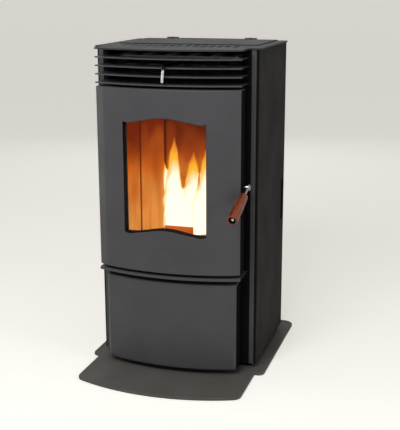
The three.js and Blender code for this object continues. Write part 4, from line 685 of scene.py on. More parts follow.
@dataclass(frozen=True)
class StudioFloor(Finish):
    """A plain pale floor that shows near-white and keeps the shadow."""

    colour: str
    lift: float

    def shader(self, canvas: Canvas) -> Socket:
        """Lifts the floor's colour where it is seen.

        Args:
            canvas: The material's canvas.

        Returns:
            The floor's shader.
        """
        shown = canvas.combine("MULTIPLY", seen_directly(canvas.tree), self.lift)
        glow = {"Emission Color": linear(self.colour), "Emission Strength": shown}
        return canvas.principled(self.colour, 0.9, {"Specular IOR Level": 0.1, **glow})


# Painted firelight: the flames' light on the liners and the baffle, painted in as a glow that is brightest
# low down.
BRICK_PAINTED_FIRELIGHT = GlowAndPaintedFirelight("#f9a850", "#df7322", "#78260c", 0.42, 0.64, 1.0)
BACK_PAINTED_FIRELIGHT = GlowAndPaintedFirelight("#f09a3c", "#bd561e", "#68250c", 0.47, 0.65, 0.95)
IRON_PAINTED_FIRELIGHT = GlowAndPaintedFirelight("#b84410", "#8a300c", "#38140a", 0.36, 0.74, 0.45)
# Near-black coat on the outward sides of the front pieces: painted shade where those sides face away from the
# light.
SIDE_SHADE_PAINT = PowderCoat("black_primer", "#0a090a", "#0d0c0d", 0.9, 0.02)

FINISHES: dict[Slot, Finish] = {
    Slot.HEARTH: PowderCoat("hearth_enamel", "#615e5b", "#595653", 0.6, 0.08),
    Slot.CHARCOAL: PowderCoat("charcoal_powder_coat", "#4b4a4d", "#464548"),
    # Darker than the charcoal front: painted shade, standing in for less light on the top plate than the
    # lamps give it.
    Slot.TOP: PowderCoat("grey_powder_coat", "#404044", "#3a3a3e", 0.6, 0.05),
    # Darker than the charcoal front: painted shade on the sides, which face away from the light.
    Slot.SIDE: PowderCoat("side_powder_coat", "#272624", "#222120", 0.75, 0.05),
    Slot.BLACK: PowderCoat("matt_black_paint", "#0c0b0c", "#100e0f", 0.8, 0.06),
    Slot.IRON: SootedIron("firebox_cast_iron"),
    Slot.BRICK: FirebrickWithPaintedFirelight("vermiculite_firebrick", "#5a2c14", BRICK_PAINTED_FIRELIGHT, ("Y", 0.0755, 0.0055)),
    Slot.STEEL: SheetSteel("cold_rolled_sheet"),
    Slot.CHROME: PlatedSteel("bright_plating"),
    Slot.MOTOR: PowderCoat("motor_enamel", "#3d4043", "#35383b", 0.38, 0.5),
    Slot.PLASTIC: MouldedPlastic("moulded_nylon"),
    Slot.ROPE: GlassRope("glass_fibre_rope"),
    Slot.GLASS: CeramicGlass("glass_ceramic"),
    Slot.WOOD: TurnedHardwood("stained_hardwood"),
}

_made: dict[str, bpy.types.Material] = {}


def material_of(finish: Finish) -> bpy.types.Material:
    """Gives a finish's material, and makes it only once.

    Args:
        finish: The finish wanted.

    Returns:
        Its material.
    """
    if finish.name not in _made:
        _made[finish.name] = finish.material()
    return _made[finish.name]


# ---------------------------------------------------------------- mesh helpers


def object_from(name: str, vertices: Iterable[Sequence[float]], faces: Iterable[Sequence[int]]) -> MeshObject:
    """Makes a mesh object at the origin.

    Args:
        name: The object's name.
        vertices: Points in metres.
        faces: Faces as lists of point numbers.

    Returns:
        The object, linked to the scene.
    """
    mesh = bpy.data.meshes.new(name)
    mesh.from_pydata([tuple(v) for v in vertices], [], [tuple(f) for f in faces])
    mesh.update()
    obj = bpy.data.objects.new(name, mesh)
    bpy.context.scene.collection.objects.link(obj)
    return obj


def discard(*objects: MeshObject) -> None:
    """Removes helper objects that aren't pieces."""
    for obj in objects:
        bpy.data.objects.remove(obj)


def refine(obj: MeshObject, *steps: tuple[str, Settings]) -> MeshObject:
    """Runs modifiers on an object and keeps the result as its plain mesh.

    Args:
        obj: The object to refine.
        *steps: Modifier types with their settings, in order.

    Returns:
        The same object with its new mesh and no modifiers.
    """
    for kind, settings in steps:
        modifier = obj.modifiers.new(kind.lower(), kind)
        for name, value in settings.items():
            setattr(modifier, name, value)
    depsgraph = bpy.context.evaluated_depsgraph_get()
    mesh = bpy.data.meshes.new_from_object(obj.evaluated_get(depsgraph), depsgraph=depsgraph)
    obj.modifiers.clear()
    obj.data = mesh
    mesh.name = obj.name
    return obj


def bevel(width: float, segments: int = 3, angle: float = SHARP_ANGLE) -> tuple[str, Settings]:
    """A rounding of all edges sharper than an angle."""
    return "BEVEL", {"width": width, "segments": segments, "limit_method": "ANGLE", "angle_limit": angle}


def wall(thickness: float) -> tuple[str, Settings]:
    """A sheet thickness laid on the inner side of a skin."""
    return "SOLIDIFY", {"thickness": thickness, "offset": -1.0, "use_even_offset": True}


def smooth(obj: MeshObject) -> MeshObject:
    """Shades an object smoothly with normals that keep its flat faces flat.

    Args:
        obj: The object to shade.

    Returns:
        The same object.
    """
    obj.data.shade_smooth()
    obj.data.set_sharp_from_angle(angle=SHARP_ANGLE)
    return refine(obj, ("WEIGHTED_NORMAL", {"keep_sharp": True}))


@contextmanager
def editing(obj: MeshObject) -> Iterator[bmesh.types.BMesh]:
    """Opens an object's mesh for editing and writes it back.

    Args:
        obj: The object to edit.

    Yields:
        Its mesh.
    """
    mesh = bmesh.new()
    mesh.from_mesh(obj.data)
    yield mesh
    mesh.to_mesh(obj.data)
    mesh.free()


def weld(obj: MeshObject) -> MeshObject:
    """Merges doubled points, joins flat neighbours and turns faces outwards.

    Args:
        obj: The object to clean.

    Returns:
        The same object.
    """
    with editing(obj) as mesh:
        bmesh.ops.remove_doubles(mesh, verts=mesh.verts, dist=WELD_DISTANCE)
        bmesh.ops.dissolve_limit(mesh, angle_limit=FLAT_ANGLE, verts=mesh.verts, edges=mesh.edges)
        bmesh.ops.recalc_face_normals(mesh, faces=mesh.faces)
    return obj


def softened(frame: dict[str, Any], node: str, radius: float, segments: int = 2) -> MeshObject:
    """Copies a node's mesh, joins it up and rounds its edges.

    Args:
        frame: The loaded frame.
        node: Name of the CAD node.
        radius: Radius of the rounded edges.
        segments: Faces across each rounding.

    Returns:
        The new object.
    """
    source = frame["nodes"][node].data
    points = [v.co[:] for v in source.vertices]
    faces = [p.vertices[:] for p in source.polygons]
    obj = weld(object_from(f"{node}_formed", points, faces))
    return smooth(refine(obj, bevel(radius, segments)))


def prism(name: str, outline: Sequence[Point], low: float, high: float, axis: str = "Z") -> MeshObject:
    """Extrudes a closed outline.

    Args:
        name: The object's name.
        outline: The outline's points.
        low: Where the prism starts along the axis.
        high: Where it ends.
        axis: "Z" for an outline in X and Y, "Y" for X and Z, "X" for Y and Z.

    Returns:
        The closed prism.
    """
    lift: dict[str, Callable[[float, float, float], Sequence[float]]] = {
        "Z": lambda a, b, c: (a, b, c),
        "Y": lambda a, b, c: (a, c, b),
        "X": lambda a, b, c: (c, a, b),
    }
    count = len(outline)
    points = [lift[axis](a, b, level) for level in (low, high) for a, b in outline]
    sides = [(i, (i + 1) % count, (i + 1) % count + count, i + count) for i in range(count)]
    caps = [tuple(reversed(range(count))), tuple(range(count, 2 * count))]
    return weld(object_from(name, points, [*sides, *caps]))


def cut_out(obj: MeshObject, *cutters: MeshObject) -> MeshObject:
    """Subtracts cutters from an object and discards them.

    Args:
        obj: The object that is cut.
        *cutters: Closed cutting bodies.

    Returns:
        The cut object.
    """
    for cutter in cutters:
        refine(obj, ("BOOLEAN", {"object": cutter, "operation": "DIFFERENCE", "solver": "EXACT"}))
    discard(*cutters)
    return weld(obj)


def turned(name: str, profile: Sequence[Point], start: Vector, along: Vector, sides: int = 48) -> MeshObject:
    """Revolves a profile of (distance, radius) pairs round a line.

    Args:
        name: The object's name.
        profile: The closed or pole-to-pole profile.
        start: Where distance 0 lies.
        along: Direction of the line.
        sides: Faces round it.

    Returns:
        The turned body.
    """
    frame = along.normalized().to_track_quat("Z", "Y").to_matrix()
    points, rings, faces = [], [], []
    for distance, radius in profile:
        turns = 1 if radius < WELD_DISTANCE else sides
        rings.append([len(points) + i for i in range(turns)])
        for angle in angles_round(sides)[:turns]:
            across = Vector((radius * math.cos(angle), radius * math.sin(angle), distance))
            points.append(start + frame @ across)
    for low, high in zip(rings, rings[1:]):
        for i in range(sides):
            j = i + 1
            ring = [low[i % len(low)], low[j % len(low)], high[j % len(high)], high[i % len(high)]]
            faces.append(list(dict.fromkeys(ring)))
    mesh_object = object_from(name, points, faces)
    return smooth(weld(mesh_object))


def angles_round(sides: int) -> list[float]:
    """Angles of evenly spaced points round a circle."""
    return [2 * math.pi * i / sides for i in range(sides)]


def tube_faces(spans: int, sides: int, rings: int) -> list[Face]:
    """Side faces between rings of points.

    Args:
        spans: Rows of faces.
        sides: Points in each ring.
        rings: Number of rings. A row past the last of them ends on the first.

    Returns:
        The faces, row by row.
    """
    faces = []
    for i in range(spans):
        low, high = i * sides, (i + 1) % rings * sides
        faces += [(low + k, low + (k + 1) % sides, high + (k + 1) % sides, high + k) for k in range(sides)]
    return faces


def swept(
    name: str,
    path: Sequence[Vector],
    half_width: float,
    half_depth: float,
    side: Vector,
    closed: bool = False,
    sides: int = 20,
) -> MeshObject:
    """Sweeps an oval section along a path that lies in one plane, with a UV map along it.

    Args:
        name: The object's name.
        path: Points of the path.
        half_width: Half the section's size in the path's plane.
        half_depth: Half its size across that plane.
        side: The plane's normal.
        closed: Whether the path is a loop.
        sides: Faces round the section.

    Returns:
        The closed tube.
    """
    count = len(path)
    points = []
    for i, centre in enumerate(path):
        before = path[(i - 1) % count] if closed or i else centre
        after = path[(i + 1) % count] if closed or i < count - 1 else centre
        across = side.cross(after - before).normalized()
        for angle in angles_round(sides):
            across_part = across * (half_width * math.cos(angle))
            points.append(centre + across_part + side * (half_depth * math.sin(angle)))
    spans = count if closed else count - 1
    faces = tube_faces(spans, sides, count)
    if not closed:
        faces += [tuple(range(sides)), tuple(reversed(range((count - 1) * sides, count * sides)))]
    obj = object_from(name, points, faces)
    layer = obj.data.uv_layers.new(name="along")
    for face in obj.data.polygons:
        for corner in face.loop_indices:
            vertex = obj.data.loops[corner].vertex_index
            row, column = divmod(vertex, sides)
            wraps = face.index >= (spans - 1) * sides and closed and row == 0
            turn = sides if column == 0 and face.index % sides == sides - 1 else column
            layer.data[corner].uv = ((count if wraps else row) / count, turn / sides)
    with editing(obj) as mesh:
        bmesh.ops.recalc_face_normals(mesh, faces=mesh.faces)
    obj.data.shade_smooth()
    return obj


def arc(centre: Point, radius: float, start: float, end: float, steps: int) -> list[Point]:
    """Points on an arc.

    Args:
        centre: The arc's centre.
        radius: Its radius.
        start: First angle in degrees.
        end: Last angle in degrees.
        steps: Chords along it.

    Returns:
        The points, first and last included.
    """
    angles = [math.radians(start + (end - start) * i / steps) for i in range(steps + 1)]
    return [(centre[0] + radius * math.cos(a), centre[1] + radius * math.sin(a)) for a in angles]


def rounded_rectangle(
    x0: float, x1: float, y0: float, y1: float, low: float, high: float, steps: int = 8
) -> list[Point]:
    """A rectangle with one corner radius at its low side and one at its high side.

    Args:
        x0: Left edge.
        x1: Right edge.
        y0: Low edge.
        y1: High edge.
        low: Corner radius at the low edge.
        high: Corner radius at the high edge.
        steps: Chords along each corner.

    Returns:
        The outline, anticlockwise.
    """
    return [
        *arc((x1 - low, y0 + low), low, -90, 0, steps),
        *arc((x1 - high, y1 - high), high, 0, 90, steps),
        *arc((x0 + high, y1 - high), high, 90, 180, steps),
        *arc((x0 + low, y0 + low), low, 180, 270, steps),
    ]


def bow_depth(reach: float, x: float) -> float:
    """Distance of a bowed face in front of the cabinet at a given x."""
    return reach - BOW_RADIUS + math.sqrt(BOW_RADIUS**2 - x**2)


def mirrored(right: Sequence[Point]) -> list[Point]:
    """Completes a plan line drawn from the middle to the right with its left half."""
    left = [(-x, y) for x, y in reversed(right) if x > WELD_DISTANCE]
    return [*left, *right]


def bowed_plan(half: float, reach: float, back: float, corner: float, steps: int = 48) -> list[Point]:
    """Plan line of a bowed front with straight sides and filleted corners.

    Args:
        half: Half its width.
        reach: Reach of its middle in front of the cabinet.
        back: Where the sides end.
        corner: Radius of the corner fillets.
        steps: Columns across the whole bow.

    Returns:
        Points from the left side's back edge round to the right side's.
    """
    centre_y = BOW_RADIUS - reach
    fillet = (half - corner, centre_y - math.sqrt((BOW_RADIUS - corner) ** 2 - (half - corner) ** 2))
    turn = math.degrees(math.atan2(fillet[1] - centre_y, fillet[0]))
    last = BOW_RADIUS * math.cos(math.radians(turn))
    stops = [round(last * i * 2 / steps, 6) for i in range(steps // 2)]
    bow = [(x, -bow_depth(reach, x)) for x in stops if x < last - 1e-4]
    right = [*bow, *arc(fillet, corner, turn, 0, 8), (half, back)]
    return mirrored(right)


def skin(
    name: str,
    plan: Sequence[Point],
    levels: Callable[[float], Sequence[float]],
    hole: Callable[[float, int], bool] = lambda x, row: False,
    capped: tuple[bool, bool] = (True, True),
) -> MeshObject:
    """An upright skin along a plan line, closed at its foot and head by flat caps.

    Args:
        name: The object's name.
        plan: Plan line, open at the back.
        levels: Heights of the rows at a given x.
        hole: Says whether the cell right of an x, above a row, is left open.
        capped: Whether the foot and the head are closed.

    Returns:
        The skin, with its faces turned outwards.
    """
    rows = len(levels(0.0))
    points = [(x, y, z) for x, y in plan for z in levels(x)]
    faces: list[Face] = []
    for i, ((x0, _), (x1, _)) in enumerate(zip(plan, plan[1:])):
        for row in range(rows - 1):
            if not hole((x0 + x1) / 2, row):
                low = i * rows + row
                faces.append((low, low + rows, low + rows + 1, low + 1))
    if capped[0]:
        faces.append(tuple(i * rows for i in reversed(range(len(plan)))))
    if capped[1]:
        faces.append(tuple(i * rows + rows - 1 for i in range(len(plan))))
    return object_from(name, points, faces)


# ---------------------------------------------------------------- geometry node helpers


PART_SOCKETS = {"Part": "NodeSocketObject", "Finish": "NodeSocketMaterial"}


@dataclass(frozen=True)
class Layout:
    """A geometry node tree that sets copies of Part on points and paints them with Finish.

    "sockets" are its further inputs. "points" adds the nodes that make the points, and
    gives the Points input of Instance on Points, and Rotation where copies are turned.
    """

    name: str
    sockets: dict[str, str]
    points: Callable[[Tree, Any], Settings]

    def tree(self) -> Tree:
        """Builds the tree, which ends in Realize Instances and Set Material.

        Returns:
            The new tree.
        """
        tree = bpy.data.node_groups.new(self.name, "GeometryNodeTree")
        tree.interface.new_socket("Geometry", in_out="INPUT", socket_type="NodeSocketGeometry")
        for label, kind in {**PART_SOCKETS, **self.sockets}.items():
            tree.interface.new_socket(label, in_out="INPUT", socket_type=kind)
        tree.interface.new_socket("Geometry", in_out="OUTPUT", socket_type="NodeSocketGeometry")
        given = add_node(tree, "NodeGroupInput").outputs
        part = add_node(tree, "GeometryNodeObjectInfo", {"Object": given["Part"]}).outputs["Geometry"]
        inputs = {"Instance": part, **self.points(tree, given)}
        placed = add_node(tree, "GeometryNodeInstanceOnPoints", inputs)
        real = add_node(tree, "GeometryNodeRealizeInstances", {0: placed.outputs[0]})
        paint = {"Geometry": real.outputs[0], "Material": given["Finish"]}
        painted = add_node(tree, "GeometryNodeSetMaterial", paint)
        add_node(tree, "NodeGroupOutput", {0: painted.outputs[0]})
        return tree


def row_points(tree: Tree, given: Any) -> Settings:
    """Points in a row, by Count, Start and Step."""
    inputs = {"Count": given["Count"], "Start Location": given["Start"], "Offset": given["Step"]}
    return {"Points": add_node(tree, "GeometryNodeMeshLine", inputs).outputs[0]}


def marked_points(tree: Tree, given: Any) -> Settings:
    """The points of the object Marks."""
    marks = add_node(tree, "GeometryNodeObjectInfo", {"Object": given["Marks"]}).outputs["Geometry"]
    return {"Points": add_node(tree, "GeometryNodeMeshToPoints", {"Mesh": marks}).outputs[0]}


def heaped_points(tree: Tree, given: Any) -> Settings:
    """Points strewn over the object Bed, each with a turn of its own.

    Args:
        tree: The tree that the nodes go into.
        given: The tree's own inputs.

    Returns:
        The points and their turns.
    """
    bed = add_node(tree, "GeometryNodeObjectInfo", {"Object": given["Bed"]}).outputs["Geometry"]
    drop = {"Mesh": bed, "Density": given["Density"], "Seed": given["Seed"]}
    points = add_node(tree, "GeometryNodeDistributePointsOnFaces", drop).outputs["Points"]
    ends = {0: (-math.pi,) * 3, 1: (math.pi,) * 3, "Seed": given["Seed"]}
    tumble = add_node(tree, "FunctionNodeRandomValue", ends, data_type="FLOAT_VECTOR")
    return {"Points": points, "Rotation": tumble.outputs[0]}


ROW = Layout(
    "parts_in_a_row",
    {"Count": "NodeSocketInt", "Start": "NodeSocketVector", "Step": "NodeSocketVector"},
    row_points,
)
MARKS = Layout("parts_on_marks", {"Marks": "NodeSocketObject"}, marked_points)
HEAP = Layout(
    "parts_in_a_heap",
    {"Bed": "NodeSocketObject", "Density": "NodeSocketFloat", "Seed": "NodeSocketInt"},
    heaped_points,
)


def copies(name: str, layout: Layout, part: MeshObject, finish: Finish, values: Settings) -> MeshObject:
    """Lays out copies of a part as one plain mesh, and discards the helper objects.

    Args:
        name: Name of the new object.
        layout: How the copies are laid out.
        part: The part that is copied.
        finish: The copies' finish.
        values: The layout's own inputs by name.

    Returns:
        The made object, without its modifier.
    """
    obj = object_from(name, [], [])
    modifier = obj.modifiers.new("nodes", "NODES")
    modifier.node_group = layout.tree()
    given = {"Part": part, "Finish": material_of(finish), **values}
    for item in modifier.node_group.interface.items_tree:
        if item.in_out == "INPUT" and item.name in given:
            modifier[item.identifier] = given[item.name]
    refine(obj)
    discard(part, *(value for value in values.values() if isinstance(value, MeshObject)))
    return obj


# ---------------------------------------------------------------- delivering pieces

SIDE_DEPTH = 0.0016  # how far in from a piece's edge its side faces may lie
SIDE_FACING = 0.9
# Thickness of the painted-shade coat on outward sides.
SIDE_SHADE_THICKNESS = 0.0002


@dataclass
class SubAssembly:
    """A group of pieces that are built and dressed together."""

    frame: dict[str, Any]

    def deliver(
        self, piece: MeshObject, body: Body, slot: Slot, *nodes: str, finish: Finish | None = None
    ) -> MeshObject:
        """Dresses a finished piece and hands it to the frame.

        Args:
            piece: The finished mesh object.
            body: The body that it rides on.
            slot: The material slot that it takes its finish from.
            *nodes: CAD nodes that it stands for.
            finish: Its finish, where it isn't the slot's own.

        Returns:
            The piece.
        """
        piece.data.materials.clear()
        piece.data.materials.append(material_of(finish or FINISHES[slot]))
        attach(piece, body.value)
        if nodes:
            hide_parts(*nodes)
        stands_for = ", ".join(nodes) or "detail"
        log.info("%s: %d faces on %s, for %s", piece.name, len(piece.data.polygons), body.value, stands_for)
        return piece

    def leave_primer(self, sprayed: MeshObject, body: Body, half: float) -> None:
        """Lays a thin matt-black coat over the outward sides of a sprayed piece: painted shade on sides that
        face away from the light.

        Args:
            sprayed: The finished piece.
            body: The body that it rides on.
            half: Distance of its sides from the middle.
        """
        mesh = bmesh.new()
        mesh.from_mesh(sprayed.data)
        covered = []
        for face in mesh.faces:
            x = face.calc_center_median().x
            if abs(x) < half - SIDE_DEPTH or face.normal.x * math.copysign(1, x) < SIDE_FACING:
                covered.append(face)
        bmesh.ops.delete(mesh, geom=covered, context="FACES")
        coat = object_from(f"{sprayed.name}_primer", [], [])
        mesh.to_mesh(coat.data)
        mesh.free()
        refine(coat, ("SOLIDIFY", {"thickness": SIDE_SHADE_THICKNESS, "offset": 1.0, "use_even_offset": True}))
        self.deliver(smooth(coat), body, Slot.BLACK, finish=SIDE_SHADE_PAINT)

    def soften(
        self, body: Body, slot: Slot, radius: float, *nodes: str, finish: Finish | None = None
    ) -> None:
        """Gives plain nodes rounded edges.

        Args:
            body: The body that they ride on.
            slot: Their material slot.
            radius: Radius of the rounded edges.
            *nodes: The CAD nodes.
            finish: Their finish, where it isn't the slot's own.
        """
        for node in nodes:
            self.deliver(softened(self.frame, node, radius), body, slot, node, finish=finish)


# ---------------------------------------------------------------- hearth base


@dataclass
class HearthBase(SubAssembly):
    """The bowed plate that the stove stands on, and the plinth on it."""

    thickness: float = 0.008
    half: float = 0.254
    front: float = -0.028
    rear: float = 0.395
    front_corner: float = 0.018
    rear_corner: float = 0.030
    lip_half: float = 0.230
    lip_reach: float = 0.238
    lip_corner: float = 0.026
    edge: float = 0.0022

    def outline(self) -> list[Point]:
        """Works out the plate's outline.

        Returns:
            The closed outline, bowed lip included.
        """
        lip = bowed_plan(self.lip_half, self.lip_reach, self.front, self.lip_corner, steps=56)
        corners = (self.front_corner, self.rear_corner)
        wide = rounded_rectangle(-self.half, self.half, self.front, self.rear, *corners)
        return [*wide, *lip]

    def build(self) -> None:
        """Builds and dresses the base's pieces."""
        plate = prism("hearth_plate", self.outline(), 0.0, self.thickness)
        refine(plate, bevel(self.edge, 4))
        self.deliver(smooth(plate), Body.STOVE, Slot.HEARTH, "hearth_base")
        self.soften(Body.STOVE, Slot.BLACK, 0.0012, "plinth")


# ---------------------------------------------------------------- cabinet


@dataclass(frozen=True)
class Spigot:
    """A pipe end at the rear: its piece's name, its axis, its outer radius, its start and end."""

    name: str
    x: float
    z: float
    radius: float
    start: float
    end: float


@dataclass
class Cabinet(SubAssembly):
    """Side panels, top plate, lid and what is fastened to the rear panel."""

    bend: float = 0.0065
    joint_depth: float = 0.0010
    flange_inner: float = 0.206
    panel_top: float = 0.8837
    hold_low: float = 0.362
    hold_high: float = 0.486
    hold_front: float = 0.300
    hold_rear: float = 0.322
    hold_rim: float = 0.0016
    top_low: float = 0.884
    top_high: float = 0.888
    top_half: float = 0.230
    top_front: float = -0.005
    top_corner: float = 0.008
    top_bow_corner: float = 0.003
    bow_half: float = 0.200
    bow_reach: float = 0.112
    hopper_half: float = 0.186
    hopper_front: float = 0.158
    hopper_rear: float = 0.321
    hopper_corner: float = 0.003
    slot_count: int = 15
    slot_pitch: float = 0.022
    slot_width: float = 0.0095
    slot_front: float = 0.010
    slot_rear: float = 0.066
    slot_sheet: float = 0.0014
    pocket_half: float = 0.180
    screw_radius: float = 0.0045
    screw_rows: tuple[float, ...] = (0.045, 0.25, 0.455, 0.66, 0.862)
    screw_columns: tuple[float, ...] = (-0.212, -0.075, 0.075, 0.212)
    flue: Spigot = Spigot("flue_spigot", -0.020, 0.228, 0.040, 0.2843, 0.380)
    intake: Spigot = Spigot("air_spigot", 0.110, 0.340, 0.025, 0.213, 0.365)
    pipe_wall: float = 0.002
    bead: float = 0.0015
    bead_half: float = 0.004
    bead_inset: float = 0.014
    flap_depth: float = 0.022
    flap_gap: float = 0.0018
    return_gap: float = 0.0001
    flap_facing: Place = (0.42, 0.91, 0)

    def build(self) -> None:
        """Builds and dresses the cabinet's pieces."""
        for side in Side:
            node = f"side_panel_{side.label()}"
            # The side panel takes a paint darker than the front's charcoal, and its front return the charcoal
            # itself: the darker side is painted shade, where the sides face away from the light.
            self.deliver(self.side_panel(side), Body.STOVE, Slot.SIDE, node)
            self.deliver(self.front_return(side), Body.STOVE, Slot.CHARCOAL, node)
            # The black strip on the bend is painted shade.
            self.deliver(self.corner_joint(side), Body.STOVE, Slot.BLACK, node)
            self.deliver(self.hold_bead(side), Body.STOVE, Slot.SIDE)
        self.deliver(self.top(), Body.STOVE, Slot.TOP, "top_plate")
        self.deliver(self.rear_screws(), Body.STOVE, Slot.STEEL)
        self.deliver(self.pipe(self.flue), Body.STOVE, Slot.STEEL, "flue_collar")
        self.deliver(self.pipe(self.intake), Body.STOVE, Slot.STEEL, "air_intake_pipe")
        self.deliver(self.air_flap(), Body.STOVE, Slot.BLACK)
        self.soften(Body.LID, Slot.TOP, 0.0008, "hopper_lid")
        self.soften(Body.STOVE, Slot.BLACK, 0.0006, "front_fascia", "cabinet_floor")
        self.soften(Body.STOVE, Slot.SIDE, 0.0005, "rear_panel")
        self.soften(Body.STOVE, Slot.STEEL, 0.0005, "latch_catch")
        hinges = ("lid_hinge", "hinge_bracket_lower", "hinge_bracket_upper")
        self.soften(Body.STOVE, Slot.STEEL, 0.0005, *hinges, finish=FINISHES[Slot.MOTOR])
        self.soften(Body.STOVE, Slot.PLASTIC, 0.0012, "power_inlet", "control_box")

    def hold_outline(self, grow: float = 0.0) -> list[Point]:
        """Outline of the hand-hold in Y and Z."""
        radius = (self.hold_rear - self.hold_front) / 2 + grow
        y = (self.hold_rear + self.hold_front) / 2
        low, high = self.hold_low - grow + radius, self.hold_high + grow - radius
        return [*arc((y, low), radius, 180, 360, 16), *arc((y, high), radius, 0, 180, 16)]

    def side_panel(self, side: Side) -> MeshObject:
        """The flat side panel with its hand-hold, up to the front corner.

        Args:
            side: The panel's side.

        Returns:
            The closed panel.
        """
        inner, front = CABINET_HALF - SHEET, self.bend
        outer, rear = CABINET_HALF, CABINET_DEPTH
        corners = ((outer, rear), (outer, front), (inner, front), (inner, rear))
        outline = [(side.value * x, y) for x, y in corners]
        panel = prism(f"side_{side.label()}_folded", outline, CABINET_BOTTOM, self.panel_top)
        face = side.value * CABINET_HALF
        cutter = prism("hold_cutter", self.hold_outline(), face - 2 * SHEET, face + 2 * SHEET, "X")
        return smooth(refine(cut_out(panel, cutter), bevel(0.0004, 2)))

    def front_return(self, side: Side) -> MeshObject:
        """The panel's front return, painted like the front.

        Args:
            side: The return's side.

        Returns:
            The closed strip.
        """
        edge = CABINET_HALF - self.bend - self.return_gap
        corners = ((self.flange_inner, 0.0), (edge, 0.0), (edge, SHEET), (self.flange_inner, SHEET))
        outline = [(side.value * x, y) for x, y in corners]
        strip = prism(f"return_{side.label()}", outline, CABINET_BOTTOM, self.panel_top)
        return smooth(refine(strip, bevel(0.0004, 2)))

    def corner_joint(self, side: Side) -> MeshObject:
        """A rounded black strip on the bend between the panel and its front return: painted shade on the
        bend.

        Args:
            side: The corner's side.

        Returns:
            The closed strip.
        """
        centre = (CABINET_HALF - self.bend, self.bend)
        radius = self.bend - self.joint_depth
        outer = arc(centre, radius, 0, -90, 10)
        inner = arc(centre, radius - SHEET, -90, 0, 10)
        outline = [(side.value * x, y) for x, y in (*outer, *inner)]
        return smooth(prism(f"corner_joint_{side.label()}", outline, CABINET_BOTTOM, self.panel_top))

    def hold_bead(self, side: Side) -> MeshObject:
        """The rolled bead that stiffens the hand-hold's edge.

        Args:
            side: The hand-hold's side.

        Returns:
            The closed bead.
        """
        x = side.value * (CABINET_HALF - SHEET / 2)
        path = [Vector((x, y, z)) for y, z in self.hold_outline(self.hold_rim / 2)]
        depth = self.hold_rim * 1.4
        return swept(f"hold_bead_{side.label()}", path, self.hold_rim, depth, X_AXIS, closed=True, sides=12)

    def top(self) -> MeshObject:
        """The top plate with its bowed front, its row of slots and the hopper opening.

        Returns:
            The closed plate.
        """
        bow = bowed_plan(self.bow_half, self.bow_reach, self.top_front, self.top_bow_corner)
        corner = self.top_corner
        wide = rounded_rectangle(-self.top_half, self.top_half, self.top_front, CABINET_DEPTH, corner, corner)
        plate = prism("top_pressed", [*wide, *bow], self.top_low, self.top_high)
        low, high = self.top_low - SHEET, self.top_high + SHEET
        slot = prism("slot_cutter", self.slot_outline(), low, high)
        start = (-(self.slot_count - 1) / 2 * self.slot_pitch, 0, 0)
        row = {"Count": self.slot_count, "Start": start, "Step": (self.slot_pitch, 0, 0)}
        slots = copies("slots", ROW, slot, FINISHES[Slot.TOP], row)
        half, corner = self.hopper_half, self.hopper_corner
        edges = rounded_rectangle(-half, half, self.hopper_front, self.hopper_rear, corner, corner, 2)
        opening = prism("hopper_cutter", edges, low, high)
        front, rear = self.slot_front - SHEET, self.slot_rear + SHEET
        half = self.pocket_half
        thinned = [(-half, front), (half, front), (half, rear), (-half, rear)]
        pocket = prism("pocket_cutter", thinned, low, self.top_high - self.slot_sheet)
        return smooth(refine(cut_out(plate, pocket, slots, opening), bevel(0.0005, 2)))

    def slot_outline(self) -> list[Point]:
        """Outline of one slot round x = 0."""
        radius = self.slot_width / 2
        front = arc((0, self.slot_front + radius), radius, 180, 360, 6)
        return [*front, *arc((0, self.slot_rear - radius), radius, 0, 180, 6)]

    def rear_screws(self) -> MeshObject:
        """The pan-head screws round the rear panel.

        Returns:
            All screws as one mesh.
        """
        edge = (self.screw_columns[0], self.screw_columns[-1])
        ends = (self.screw_rows[0], self.screw_rows[-1])
        marks = [(x, CABINET_DEPTH, z) for x in edge for z in self.screw_rows]
        marks += [(x, CABINET_DEPTH, z) for x in self.screw_columns[1:-1] for z in ends]
        r = self.screw_radius
        pan = [(-0.0008, 0), (-0.0008, r), (0.0012, r), (0.0021, r * 0.7)]
        recess = [(0.0024, r * 0.35), (0.0015, r * 0.3), (0.0015, 0)]
        head = turned("screw_head", [*pan, *recess], ORIGIN, Y_AXIS, 16)
        points = object_from("screw_marks", marks, [])
        return smooth(copies("rear_screws", MARKS, head, FINISHES[Slot.STEEL], {"Marks": points}))

    def air_flap(self) -> MeshObject:
        """The part-open flap inside the air spigot.

        Returns:
            The round plate.
        """
        reach = self.intake.radius - self.pipe_wall - self.flap_gap
        rim = reach - 0.0004
        profile = [(0.0, 0.0), (0.0, rim), (0.0006, reach), (0.0012, rim), (0.0012, 0.0)]
        place = Vector((self.intake.x, self.intake.end - self.flap_depth, self.intake.z))
        return turned("air_flap", profile, place, Vector(self.flap_facing), 40)

    def pipe(self, spigot: Spigot) -> MeshObject:
        """A spigot with a rolled bead behind its plain end.

        Args:
            spigot: Its place and sizes.

        Returns:
            The open-ended pipe.
        """
        outside = spigot.radius - self.bead
        inside = spigot.radius - self.pipe_wall - self.bead
        length = spigot.end - spigot.start
        middle = length - self.bead_inset
        rise = []
        for angle in (math.pi, 2.4, 1.57, 0.75, 0.0):
            height = self.bead * (0.3 + 0.7 * math.sin(angle))
            rise.append((middle + self.bead_half * math.cos(angle), outside + height))
        outer = [(0.0, outside), *rise, (length, outside)]
        lip = [(length, inside), (0.0, inside), (0.0, outside)]
        return turned(spigot.name, [*outer, *lip], Vector((spigot.x, spigot.start, spigot.z)), Y_AXIS, 64)


# ---------------------------------------------------------------- warm-air outlet


